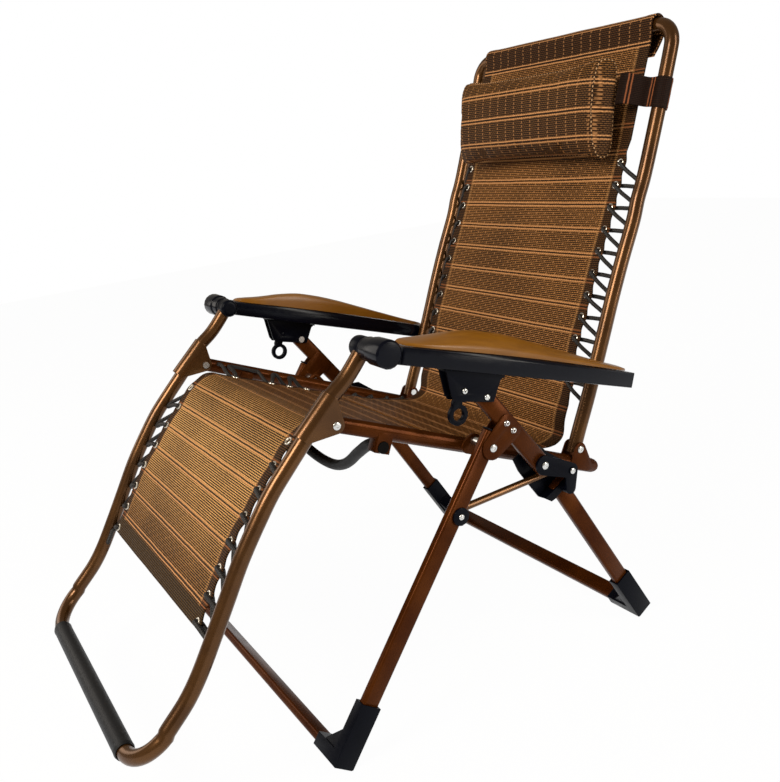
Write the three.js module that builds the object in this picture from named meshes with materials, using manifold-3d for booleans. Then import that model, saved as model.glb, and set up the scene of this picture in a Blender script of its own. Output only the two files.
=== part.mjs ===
// Folding recliner with a laced woven sling. Millimetres, +Z up, the sitter faces -Y,
// +X is the sitter's left. Side places are (y, z) pairs measured from under the seat pin.
import * as THREE from 'three';
import { mergeVertices } from 'three/addons/utils/BufferGeometryUtils.js';
import Module from 'manifold-3d';

const wasm = await Module();
wasm.setup();

// Clearance between touching pieces, and the overrun of a cut past a face
const GAP = 0.3;
const OVERRUN = 2;

// Tubes and sheet
const FRAME_TUBE = 25;
const LEG_WIDE = 30;
const LEG_THICK = 15;
const HANGER_WIDE = 31;
const RAIL_TALL = 26;
const RAIL_THICK = 20;
const STRUT_TUBE = 12;
const STRUT_FLAT = 4;
const CROSS_TUBE = 19;
const GUSSET_SHEET = 2.2;
const EAR_SHEET = 2.5;
const PLASTIC_WALL = 3;
const CHEEK_WALL = 4;

// Distances of the side planes from the middle
const BACK_PLANE = 272.5;
const RAIL_PLANE = 276;
const LEG_REST_PLANE = 278;
const HANGER_PLANE = 329.2;
const PLANE_GAP = 0.7;
const ARM_INNER = 287;
const ARM_WIDTH = 65;
const PILLOW_SHIFT = 13;

// Heights and runs of the pivots, from under the seat pin
const SEAT_PIN_HEIGHT = 435;
const RAIL_FRONT_RUN = 240;
const RAIL_FRONT_RISE = 93;
const RAIL_END_RUN = 252;
const RAIL_END_DROP = 122;
const BACK_PIN_RUN = 224;
const BACK_PIN_DROP = 81;
const ARM_PIN_RUN = 4;
const ARM_PIN_RISE = 85;
const REAR_LEG_PIN_RUN = 99;
const REAR_LEG_PIN_DROP = 59;
const STRUT_DOWN_LEG = 118.2;
const STRUT_OFF_LEG = 2.27;
const STRUT_REAR_RUN = 155;
const STRUT_REAR_DROP = 85;
const ARM_FRONT_RUN = 172;
const ARM_FRONT_RISE = 193;
const ARM_REAR_RUN = 283;
const ARM_REAR_RISE = 53;
const FRONT_FOOT_RUN = 326;
const REAR_FOOT_RUN = 322;
const FRONT_FOOT_HEIGHT = 17.8;
const REAR_FOOT_HEIGHT = 16.6;
const FRONT_LEG_OFFSET = 9;
const REAR_LEG_OFFSET = 11.5;

// Frames
const LEG_REST_REACH = 443;
const LEG_REST_DROP = 515;
const BACK_REACH = 283;
const BACK_RISE = 692;
const FOOT_BEND = 62;
const HEAD_BEND = 38;
const TUBE_END = 9;
const FRONT_LEG_TOP = 22;
const REAR_LEG_SHORT = 65;
const HANGER_TOP = 12;
const HANGER_FOOT = 14;
const CROSS_TUBE_RUN = 156;
const CROSS_TUBE_DIP = 107;
const CROSS_TUBE_BACK = 31;

// Brackets, lobes and pins
const PIN = 8;
const PIN_HEAD = 13;
const HEAD_THICK = 2.4;
const PIN_BUSH = 15;
const EAR_RADIUS = 12;
const LOBE_RADIUS = 20;
const RIVET_LOBE = 15;
const RIVET_HEAD = 10;
const RIVET_RUN = 30;
const RIVET_RISE = 33;
const RIVET_STEP_RUN = 12;
const RIVET_STEP_DROP = 15;
const BRACKET_LENGTH = 78;
const BRACKET_SHEET = 2.5;
const CLAMP_LENGTH = 26;
const DISC = 30;
const DISC_THICK = 3;
const PLUG_THICK = 3;
const STRUT_EYE = 8;
const STRUT_TAPER = 16;

// Shoes on the floor
const SHOE_LEG_LENGTH = 92;
const SHOE_BAR_LENGTH = 62;
const SHOE_FILLET = 34;

// Armrests
const ARM_LENGTH = 491;
const ARM_SLOPE_RUN = 446;
const ARM_SLOPE_DROP = 147;
const ARM_DEPTH = 26;
const ARM_FRONT = 22;
const ARM_BOW = 4;
const ARM_EDGE = 3;
const HOUSING = 43;
const KNUCKLE = 34;
const KNUCKLE_INNER = 258.5;
const KNUCKLE_STUB = 14;
const KNUCKLE_LIP = 2;
const STUB_LENGTH = 9;
const ARM_REAR_STUB = 12;
const ARM_REAR_PLAY = 3;
const INLAY_MARGIN = 4;
const INLAY_EDGE = 3;
const INLAY_CROWN = 27;
const INLAY_START = 34;
const INLAY_END = 6;
// How far inwards of the middle the inlay's crest lies, as a share of its half width
const crestShare = 0.35;
// How much lower the inlay's edges are than its crest, and how much narrower its ends are
const inlayEdgeShare = 0.75;
const inlayEndShare = 0.75;
const INLAY_END_POWER = 10;
const SHOE_WEB = 4;

// Lock lever
const LEVER_THICK = 7;
const LEVER_BACK = 40;
const LEVER_RISE = 20;
const LEVER_EYE = 8;
const RING_OUTER = 17;
const RING_INNER = 10;
const RING_DROP = 37;
const RING_FORWARD = 10;

// Sling, lacing, grip and pillow
const FABRIC = 3;
const FABRIC_ROOM = 25;
const CORD = 5;
const LACE_PITCH = 40;
const GRIP = 31;
const GRIP_OVER = 4;
const PILLOW_INSET = 21;
const PILLOW_TALL = 172;
const PILLOW_THICK = 58;
const PILLOW_DROP = 127;
const PILLOW_AHEAD = 67.5;
const PILLOW_LEAN = 9;
const PILLOW_DRAWN = 5;
const STRAP = 46;
const STRAP_SHEET = 1.6;

// Roundness
const TUBE_SIDES = 14;
const ROUND_SIDES = 18;
const SMALL_SIDES = 12;
const HOLE_SIDES = 10;
const CORD_SIDES = 5;
const BEND_STEPS = 5;
const TUBE_STEPS = 15;
const ARM_STEPS = 8;
const INLAY_ROWS = 16;
const INLAY_COLUMNS = 6;
const PILLOW_COLUMNS = 16;
const PILLOW_ROWS = 8;
const PILLOW_LAYERS = 2;
const SHEET_STEPS = 2;

const degrees = Math.PI / 180;
const sides = [['left', 1], ['right', -1]];
const at = (y, z) => new THREE.Vector2(y, z);
const armOuter = ARM_INNER + ARM_WIDTH;
const fabricHalf = BACK_PLANE - FRAME_TUBE / 2 - FABRIC_ROOM;
const pillowHalf = fabricHalf - PILLOW_INSET;
const gripHalf = LEG_REST_PLANE - FOOT_BEND + GRIP_OVER;
const seatPin = at(0, SEAT_PIN_HEIGHT);
const fromSeatPin = (run, rise) => at(run, SEAT_PIN_HEIGHT + rise);

const railFrontPin = fromSeatPin(-RAIL_FRONT_RUN, RAIL_FRONT_RISE);
const railEnd = fromSeatPin(RAIL_END_RUN, -RAIL_END_DROP);
const backPin = fromSeatPin(BACK_PIN_RUN, -BACK_PIN_DROP);
const armPin = fromSeatPin(-ARM_PIN_RUN, ARM_PIN_RISE);
const rearLegPin = fromSeatPin(REAR_LEG_PIN_RUN, -REAR_LEG_PIN_DROP);
const strutRearPin = fromSeatPin(STRUT_REAR_RUN, -STRUT_REAR_DROP);
const armFrontPin = fromSeatPin(-ARM_FRONT_RUN, ARM_FRONT_RISE);
const armRearPin = fromSeatPin(ARM_REAR_RUN, ARM_REAR_RISE);
const frontFoot = at(-FRONT_FOOT_RUN, FRONT_FOOT_HEIGHT);
const rearFoot = at(REAR_FOOT_RUN, REAR_FOOT_HEIGHT);
const rivets = [
  fromSeatPin(RIVET_RUN, RIVET_RISE),
  fromSeatPin(RIVET_RUN + RIVET_STEP_RUN, RIVET_RISE - RIVET_STEP_DROP),
];

const unit = (from, to) => to.clone().sub(from).normalize();
const along = (from, direction, length) => from.clone().addScaledVector(direction, length);
const across = (direction) => at(-direction.y, direction.x);
const railWay = unit(railFrontPin, railEnd);
const railUp = across(railWay);
const hangerWay = unit(armPin, rearLegPin);
const armWay = at(ARM_SLOPE_RUN, -ARM_SLOPE_DROP).normalize();
const armUp = across(armWay);

// Direction up a leg whose centre line passes the pin at the given offset in front of it
function legWay(foot, pin, offset) {
  const reach = pin.clone().sub(foot);
  const angle = reach.angle() + Math.asin(offset / reach.length());
  return at(Math.cos(angle), Math.sin(angle));
}
const frontLegWay = legWay(frontFoot, seatPin, FRONT_LEG_OFFSET);
const rearLegWay = legWay(rearFoot, rearLegPin, -REAR_LEG_OFFSET);
const strutFrontPin = along(along(seatPin, frontLegWay, -STRUT_DOWN_LEG), across(frontLegWay), STRUT_OFF_LEG);

const paints = {
  bronze: { color: 0x6b3a1c, roughness: 0.3, metalness: 0.75 },
  brown: { color: 0x5a2412, roughness: 0.35, metalness: 0.6 },
  black: { color: 0x14161b, roughness: 0.5, metalness: 0 },
  darkTube: { color: 0x1c1512, roughness: 0.4, metalness: 0.4 },
  steel: { color: 0xc9c9c6, roughness: 0.25, metalness: 1 },
  caramel: { color: 0xb87324, roughness: 0.3, metalness: 0 },
  fabric: { color: 0x8a5f2f, roughness: 0.9, metalness: 0 },
  strap: { color: 0x3a2415, roughness: 0.9, metalness: 0 },
  cord: { color: 0x101010, roughness: 0.8, metalness: 0 },
  foam: { color: 0x1a1c20, roughness: 0.95, metalness: 0 },
};

const recliner = new THREE.Group();

function add(name, geometry, paint) {
  const mesh = new THREE.Mesh(geometry, new THREE.MeshStandardMaterial(paints[paint]));
  mesh.name = name;
  recliner.add(mesh);
}

// A closed geometry as a solid, and back
function solid(geometry) {
  const bare = geometry.clone();
  bare.deleteAttribute('normal');
  bare.deleteAttribute('uv');
  const merged = mergeVertices(bare);
  const vertProperties = new Float32Array(merged.attributes.position.array);
  const triVerts = new Uint32Array(merged.index.array);
  return new wasm.Manifold(new wasm.Mesh({ numProp: 3, vertProperties, triVerts }));
}

function geometryOf(manifold) {
  const { vertProperties, triVerts } = manifold.getMesh();
  const geometry = new THREE.BufferGeometry();
  geometry.setAttribute('position', new THREE.BufferAttribute(vertProperties, 3));
  geometry.setIndex(new THREE.BufferAttribute(triVerts, 1));
  return geometry;
}

function join(...geometries) {
  return geometryOf(geometries.map(solid).reduce((whole, piece) => whole.add(piece)));
}

function cut(geometry, ...tools) {
  return geometryOf(tools.map(solid).reduce((whole, tool) => whole.subtract(tool), solid(geometry)));
}

function common(first, second) {
  return geometryOf(solid(first).intersect(solid(second)));
}

// Local x, y, z turned to run along Y, Z and X
const sideways = new THREE.Matrix4().makeBasis(
  new THREE.Vector3(0, 1, 0),
  new THREE.Vector3(0, 0, 1),
  new THREE.Vector3(1, 0, 0),
);

function circlePath(centre, radius, count) {
  const path = new THREE.Path();
  const corners = Array.from({ length: count }, (_, i) => {
    const angle = (2 * Math.PI * i) / count;
    return at(centre.x + radius * Math.cos(angle), centre.y + radius * Math.sin(angle));
  });
  return path.setFromPoints(corners);
}

// A flat piece with a side outline, between two distances from the middle
function slab(outline, inner, outer, holes = [], edge = 0) {
  const low = Math.min(inner, outer);
  const high = Math.max(inner, outer);
  const shape = new THREE.Shape(outline);
  holes.forEach(([centre, radius]) => shape.holes.push(circlePath(centre, radius, HOLE_SIDES)));
  const geometry = new THREE.ExtrudeGeometry(shape, {
    depth: high - low - 2 * edge,
    bevelEnabled: edge > 0,
    bevelThickness: edge,
    bevelSize: edge,
    bevelOffset: -edge,
    bevelSegments: 2,
    curveSegments: BEND_STEPS,
  });
  geometry.translate(0, 0, low + edge);
  return geometry.applyMatrix4(sideways);
}

// The outline that a band stretched round some circles would take
function band(...circles) {
  const points = circles.flatMap(([centre, radius]) => Array.from({ length: ROUND_SIDES }, (_, i) => {
    const angle = (2 * Math.PI * i) / ROUND_SIDES;
    return at(centre.x + radius * Math.cos(angle), centre.y + radius * Math.sin(angle));
  }));
  points.sort((a, b) => a.x - b.x || a.y - b.y);
  const turn = (o, a, b) => (a.x - o.x) * (b.y - o.y) - (a.y - o.y) * (b.x - o.x);
  const chain = (list) => {
    const kept = [];
    list.forEach((point) => {
      while (kept.length > 1 && turn(kept[kept.length - 2], kept[kept.length - 1], point) <= 0) {
        kept.pop();
      }
      kept.push(point);
    });
    kept.pop();
    return kept;
  };
  return [...chain(points), ...chain([...points].reverse())];
}

// A rectangle along a direction, from one length past a point to another
function strip(from, direction, start, end, width) {
  const side = across(direction);
  return [
    along(along(from, direction, start), side, -width / 2),
    along(along(from, direction, end), side, -width / 2),
    along(along(from, direction, end), side, width / 2),
    along(along(from, direction, start), side, width / 2),
  ];
}

// A turned piece on an axis along X: [distance, radius] steps, outwards from the middle
function turned(centre, steps, side, count = ROUND_SIDES) {
  const first = steps[0];
  const last = steps[steps.length - 1];
  const profile = [[first[0], 0], ...steps, [last[0], 0]].map(([x, radius]) => at(radius, x));
  const geometry = new THREE.LatheGeometry(profile, count);
  geometry.rotateZ((-side * Math.PI) / 2);
  return geometry.translate(0, centre.x, centre.y);
}

const rod = (centre, radius, inner, outer, side, count) => (
  turned(centre, [[inner, radius], [outer, radius]], side, count)
);

// A curve that passes each of its own stations at equal steps of its parameter
class Stations extends THREE.Curve {
  constructor(stations, closed = false) {
    super();
    this.stations = stations;
    this.closed = closed;
  }

  getPoint(t) {
    const count = this.closed ? this.stations.length : this.stations.length - 1;
    const place = Math.min(Math.max(t, 0), 1) * count;
    const index = Math.min(Math.floor(place), count - 1);
    const next = (index + 1) % this.stations.length;
    return this.stations[index].clone().lerp(this.stations[next], place - index);
  }

  getPointAt(t) {
    return this.getPoint(t);
  }

  getTangent(t) {
    const count = this.closed ? this.stations.length : this.stations.length - 1;
    const index = Math.round(Math.min(Math.max(t, 0), 1) * count);
    const wrap = (i) => (this.closed
      ? this.stations[(i + this.stations.length) % this.stations.length]
      : this.stations[Math.min(Math.max(i, 0), this.stations.length - 1)]);
    return wrap(index + 1).clone().sub(wrap(index - 1)).normalize();
  }

  getTangentAt(t) {
    return this.getTangent(t);
  }
}

function tube(stations, radius, count = TUBE_SIDES) {
  const section = new THREE.Shape(circlePath(at(0, 0), radius, count).getPoints());
  return new THREE.ExtrudeGeometry(section, {
    steps: stations.length - 1,
    extrudePath: new Stations(stations),
  });
}

const spot = (x, place) => new THREE.Vector3(x, place.x, place.y);

const curveThrough = (places) => (
  new THREE.CatmullRomCurve3(places.map((place) => spot(0, place)), false, 'centripetal')
);

// Points of a smooth line through some side places
const smooth = (places, count) => (
  curveThrough(places).getPoints(count).map((point) => at(point.y, point.z))
);

// A frame tube: up one side, across with two bends, and down the other side
function bentFrame(profile, plane, radius, bend) {
  const low = profile[profile.length - 1];
  const before = profile[profile.length - 2];
  const way = unit(before, low);
  const bendStart = along(low, way, -bend);
  const quarter = Array.from({ length: BEND_STEPS }, (_, i) => {
    const angle = ((i + 1) / (BEND_STEPS + 1)) * (Math.PI / 2);
    return {
      x: plane - bend * (1 - Math.cos(angle)),
      place: along(bendStart, way, bend * Math.sin(angle)),
    };
  });
  const straight = profile.filter((place) => low.clone().sub(place).dot(way) > bend + FRAME_TUBE / 4);
  const down = [...straight, bendStart].map((place) => spot(plane, place));
  const corner = quarter.map(({ x, place }) => spot(x, place));
  const half = [...down, ...corner, spot(plane - bend, low)];
  const mirrored = [...half].reverse().map((point) => new THREE.Vector3(-point.x, point.y, point.z));
  return tube([...half, ...mirrored], radius);
}

// Base: hangers with their gussets and the pins at the seat
const innerFace = HANGER_PLANE - LEG_THICK / 2;
const outerFace = HANGER_PLANE + LEG_THICK / 2;
const gussetInner = innerFace - GAP - GUSSET_SHEET;
const gussetOuter = outerFace + GAP + GUSSET_SHEET;
const railOuter = RAIL_PLANE + RAIL_THICK / 2;
const pinHole = PIN / 2 + GAP;

for (const [name, side] of sides) {
  const length = armPin.distanceTo(rearLegPin);
  const outline = strip(armPin, hangerWay, -HANGER_TOP, length + HANGER_FOOT, HANGER_WIDE);
  const holes = [[armPin, pinHole], [rearLegPin, pinHole]];
  add(`hanger_${name}`, slab(outline, side * innerFace, side * outerFace, holes), 'brown');

  const lobe = band([seatPin, LOBE_RADIUS], ...rivets.map((rivet) => [rivet, RIVET_LOBE]));
  const inner = slab(lobe, side * (innerFace - GAP), side * gussetInner, [[seatPin, pinHole]]);
  const outer = slab(lobe, side * (outerFace + GAP), side * gussetOuter, [[seatPin, pinHole]]);
  const heads = rivets.map((rivet) => (
    rod(rivet, RIVET_HEAD / 2, gussetOuter - GUSSET_SHEET / 2, gussetOuter + HEAD_THICK, side, SMALL_SIDES)
  ));
  add(`gusset_inner_${name}`, inner, 'brown');
  add(`gusset_outer_${name}`, join(outer, ...heads), 'brown');

  const seatSteps = [
    [railOuter + GAP, PIN / 2],
    [railOuter + EAR_SHEET + GAP, PIN / 2],
    [railOuter + EAR_SHEET + GAP, PIN_BUSH / 2],
    [gussetInner - GAP, PIN_BUSH / 2],
    [gussetInner - GAP, PIN / 2],
    [gussetOuter + GAP, PIN / 2],
    [gussetOuter + GAP, PIN_HEAD / 2],
    [gussetOuter + GAP + HEAD_THICK, PIN_HEAD / 2],
  ];
  add(`seat_pin_${name}`, turned(seatPin, seatSteps, side, SMALL_SIDES), 'steel');
}

// Leg frames: two rectangular tubes and a floor bar
function legFrame(foot, way, length, plane, holes) {
  const outline = strip(foot, way, -LEG_THICK / 2, length, LEG_WIDE);
  const uprights = sides.map(([, side]) => (
    slab(outline, side * (plane - LEG_THICK / 2), side * (plane + LEG_THICK / 2), holes)
  ));
  const barOutline = strip(foot, way, -LEG_THICK / 2, LEG_THICK / 2, LEG_WIDE);
  return join(slab(barOutline, -plane, plane), ...uprights);
}

// A corner shoe: a sleeve on the leg, a sleeve on the bar and a fillet between them
function cornerShoe(foot, way, plane, side) {
  const inner = side * (plane - LEG_THICK / 2 - PLASTIC_WALL);
  const outer = side * (plane + LEG_THICK / 2 + PLASTIC_WALL);
  const wide = LEG_WIDE + 2 * PLASTIC_WALL;
  const under = -LEG_THICK / 2 - PLASTIC_WALL;
  const legSleeve = slab(strip(foot, way, under, SHOE_LEG_LENGTH, wide), inner, outer);
  const barTop = LEG_THICK / 2 + PLASTIC_WALL;
  const barSleeve = slab(strip(foot, way, under, barTop, wide), side * (plane - SHOE_BAR_LENGTH), outer);
  const wedge = new THREE.Shape([
    at(0, 0),
    at(SHOE_FILLET, 0),
    at(0, SHOE_FILLET),
  ]);
  const depth = wide - 2 * PLASTIC_WALL;
  const fillet = new THREE.ExtrudeGeometry(wedge, { depth, bevelEnabled: false });
  const wayAcross = across(way);
  const basis = new THREE.Matrix4().makeBasis(
    new THREE.Vector3(-side, 0, 0),
    new THREE.Vector3(0, way.x, way.y),
    new THREE.Vector3(0, side * way.y, -side * way.x),
  );
  fillet.applyMatrix4(basis);
  const corner = along(along(foot, way, barTop - GAP), wayAcross, (side * depth) / 2);
  fillet.translate(side * (plane - LEG_THICK / 2 - PLASTIC_WALL + GAP), corner.x, corner.y);
  return { legSleeve, barSleeve, fillet };
}

function shoe(foot, way, plane, side) {
  const { legSleeve, barSleeve, fillet } = cornerShoe(foot, way, plane, side);
  const hollow = LEG_WIDE + 2 * GAP;
  const half = LEG_THICK / 2 + GAP;
  const legHollow = slab(
    strip(foot, way, -half, SHOE_LEG_LENGTH + OVERRUN, hollow),
    side * (plane - half),
    side * (plane + half),
  );
  const barHollow = slab(
    strip(foot, way, -half, half, hollow),
    side * (plane - SHOE_BAR_LENGTH - OVERRUN),
    side * (plane + half),
  );
  // The underside is cut flat at the floor
  const whole = cut(join(legSleeve, barSleeve, fillet), legHollow, barHollow);
  const reach = SHOE_LEG_LENGTH + LEG_WIDE;
  const above = new THREE.BoxGeometry(reach * 2, reach * 2, reach);
  above.translate(side * plane, foot.x, reach / 2);
  return common(whole, above);
}

const frontLegLength = along(seatPin, frontLegWay, FRONT_LEG_TOP).sub(frontFoot).dot(frontLegWay);
const rearLegLength = along(rearLegPin, rearLegWay, -REAR_LEG_SHORT).sub(rearFoot).dot(rearLegWay);
const rearLegPlane = HANGER_PLANE - LEG_THICK - PLANE_GAP;
const strutPlane = innerFace - GAP - STRUT_TUBE / 2;

const frontHoles = [[seatPin, pinHole], [strutFrontPin, pinHole]];
const frontFrame = legFrame(frontFoot, frontLegWay, frontLegLength, HANGER_PLANE, frontHoles);
add('front_leg_frame', frontFrame, 'brown');
add('rear_leg_frame', legFrame(rearFoot, rearLegWay, rearLegLength, rearLegPlane, []), 'brown');

// Fork fitting at the top of a rear leg, outline shares of the strut pin's offset from the leg pin
const forkRun = STRUT_REAR_RUN - REAR_LEG_PIN_RUN;
const cheekShares = [
  [-0.66, 0.2], [-0.5, -0.2], [-0.25, -0.6], [0.18, -1.24], [0.4, -1.37], [0.57, -1.32],
  [1.14, -0.96], [1.16, -0.6], [1.2, -0.34], [0.9, -0.13], [0.25, 0.38], [-0.25, 0.42],
];
const blockShares = [
  [0.16, -1.2], [0.4, -1.37], [0.57, -1.32], [1.14, -0.96], [1.05, -0.8],
];
const forkPlace = ([run, rise]) => at(rearLegPin.x + run * forkRun, rearLegPin.y + rise * forkRun);
const forkEndShares = [0.93, -1.02];
const forkEnd = forkPlace(forkEndShares);

for (const [name, side] of sides) {
  const legInner = rearLegPlane - LEG_THICK / 2;
  const legOuter = rearLegPlane + LEG_THICK / 2;
  const innerCheek = slab(
    cheekShares.map(forkPlace),
    side * (legInner - GAP),
    side * (legInner - GAP - PLASTIC_WALL),
    [[rearLegPin, pinHole]],
  );
  const cheekStart = outerFace + GAP;
  const cheekEnd = cheekStart + CHEEK_WALL;
  const top = band([rearLegPin, PIN_HEAD + CHEEK_WALL], [strutRearPin, PIN_HEAD]);
  const upper = slab(top, side * cheekStart, side * cheekEnd, [[rearLegPin, pinHole]]);
  const lower = slab(
    band([strutRearPin, PIN_HEAD], [forkEnd, PIN_HEAD - PLASTIC_WALL]),
    side * cheekStart,
    side * cheekEnd,
  );
  const block = slab(
    blockShares.map(forkPlace),
    side * (legInner - GAP - PLASTIC_WALL),
    side * (legOuter + PLASTIC_WALL),
  );
  const web = slab(
    band([forkEnd, PIN_HEAD - PLASTIC_WALL]),
    side * (legInner - GAP - PLASTIC_WALL),
    side * cheekEnd,
  );
  const head = rod(strutRearPin, PIN_HEAD / 2, cheekStart + GAP, cheekEnd + HEAD_THICK, side, SMALL_SIDES);
  const socket = slab(
    strip(rearFoot, rearLegWay, 0, rearLegLength + GAP, LEG_WIDE + 2 * GAP),
    side * (legInner - GAP),
    side * (legOuter + GAP),
  );
  const fork = cut(join(innerCheek, upper, lower, block, web, head), socket);
  add(`rear_fitting_${name}`, fork, 'black');

  const legPinSteps = [
    [legInner - 2 * GAP - PLASTIC_WALL - HEAD_THICK, PIN_HEAD / 2],
    [legInner - 2 * GAP - PLASTIC_WALL, PIN_HEAD / 2],
    [legInner - 2 * GAP - PLASTIC_WALL, PIN / 2],
    [cheekEnd + GAP, PIN / 2],
    [cheekEnd + GAP, PIN_HEAD / 2],
    [cheekEnd + GAP + HEAD_THICK, PIN_HEAD / 2],
  ];
  add(`rear_leg_pin_${name}`, turned(rearLegPin, legPinSteps, side, SMALL_SIDES), 'steel');

  add(`front_shoe_${name}`, shoe(frontFoot, frontLegWay, HANGER_PLANE, side), 'black');
  add(`rear_shoe_${name}`, shoe(rearFoot, rearLegWay, rearLegPlane, side), 'black');

  const plugStart = frontLegLength + GAP;
  const plugOutline = strip(frontFoot, frontLegWay, plugStart, plugStart + PLUG_THICK, LEG_WIDE);
  add(`leg_plug_${name}`, slab(plugOutline, side * innerFace, side * outerFace), 'black');

  const strutInner = strutPlane - STRUT_FLAT / 2;
  const discSteps = [
    [strutInner - GAP - HEAD_THICK, PIN_HEAD / 2],
    [strutInner - GAP, PIN_HEAD / 2],
    [strutInner - GAP, PIN / 2],
    [outerFace + GAP, PIN / 2],
    [outerFace + GAP, DISC / 2],
    [outerFace + GAP + DISC_THICK, DISC / 2],
  ];
  add(`strut_disc_${name}`, turned(strutFrontPin, discSteps, side, SMALL_SIDES), 'black');

  const strutWay = unit(strutFrontPin, strutRearPin);
  const strutLength = strutFrontPin.distanceTo(strutRearPin);
  const shaft = tube([
    spot(side * strutPlane, along(strutFrontPin, strutWay, STRUT_TAPER)),
    spot(side * strutPlane, along(strutFrontPin, strutWay, strutLength - STRUT_TAPER)),
  ], STRUT_TUBE / 2, SMALL_SIDES);
  const eyes = [[strutFrontPin, 1], [strutRearPin, -1]].map(([pin, way]) => slab(
    band([pin, STRUT_EYE], [along(pin, strutWay, way * STRUT_TAPER * 2), STRUT_TUBE / 2 - GAP]),
    side * strutInner,
    side * (strutInner + STRUT_FLAT),
    [[pin, pinHole]],
  ));
  add(`strut_${name}`, join(shaft, ...eyes), 'bronze');
}

// Seat rails with their ears and clamps
const underRail = RAIL_TALL / 2 + CROSS_TUBE / 2 + GAP;
const onRail = (run) => along(railFrontPin, railWay, (RAIL_FRONT_RUN + run) / railWay.x);
const crossOnRail = onRail(-CROSS_TUBE_RUN);
const crossPlace = along(crossOnRail, railUp, -underRail);
// Places along half the cross tube: share of the half width, of the dip and of the set-back
const crossShares = [
  [1.04, 0, 0], [0.95, 0, 0], [0.89, 0.04, 0.04], [0.81, 0.13, 0.13], [0.71, 0.27, 0.27], [0.6, 0.43, 0.43],
  [0.47, 0.63, 0.63], [0.34, 0.8, 0.8], [0.2, 0.93, 0.93], [0.07, 0.99, 0.99],
];
const crossHalf = crossShares.map(([out, dip, back]) => new THREE.Vector3(
  out * RAIL_PLANE,
  crossPlace.x + back * CROSS_TUBE_BACK,
  crossPlace.y - dip * CROSS_TUBE_DIP,
));
const crossStations = [
  ...crossHalf,
  ...[...crossHalf].reverse().map((point) => new THREE.Vector3(-point.x, point.y, point.z)),
];
add('cross_tube', tube(crossStations, CROSS_TUBE / 2, SMALL_SIDES), 'darkTube');

function ovalRail(side) {
  const section = new THREE.Shape();
  section.absellipse(0, 0, RAIL_TALL / 2, RAIL_THICK / 2, 0, 2 * Math.PI);
  const length = railFrontPin.distanceTo(railEnd) + RAIL_TALL;
  const oval = new THREE.ExtrudeGeometry(section, {
    depth: length,
    bevelEnabled: false,
    curveSegments: TUBE_SIDES / 2,
  });
  const basis = new THREE.Matrix4().makeBasis(
    new THREE.Vector3(0, railUp.x, railUp.y),
    new THREE.Vector3(1, 0, 0),
    new THREE.Vector3(0, railWay.x, railWay.y),
  );
  oval.applyMatrix4(basis);
  const start = along(railFrontPin, railWay, -RAIL_TALL / 2);
  oval.translate(side * RAIL_PLANE, start.x, start.y);
  const rounded = band([railFrontPin, RAIL_TALL / 2], [railEnd, RAIL_TALL / 2]);
  const envelope = slab(rounded, side * (RAIL_PLANE - RAIL_THICK), side * (RAIL_PLANE + RAIL_THICK));
  return common(oval, envelope);
}

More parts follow.
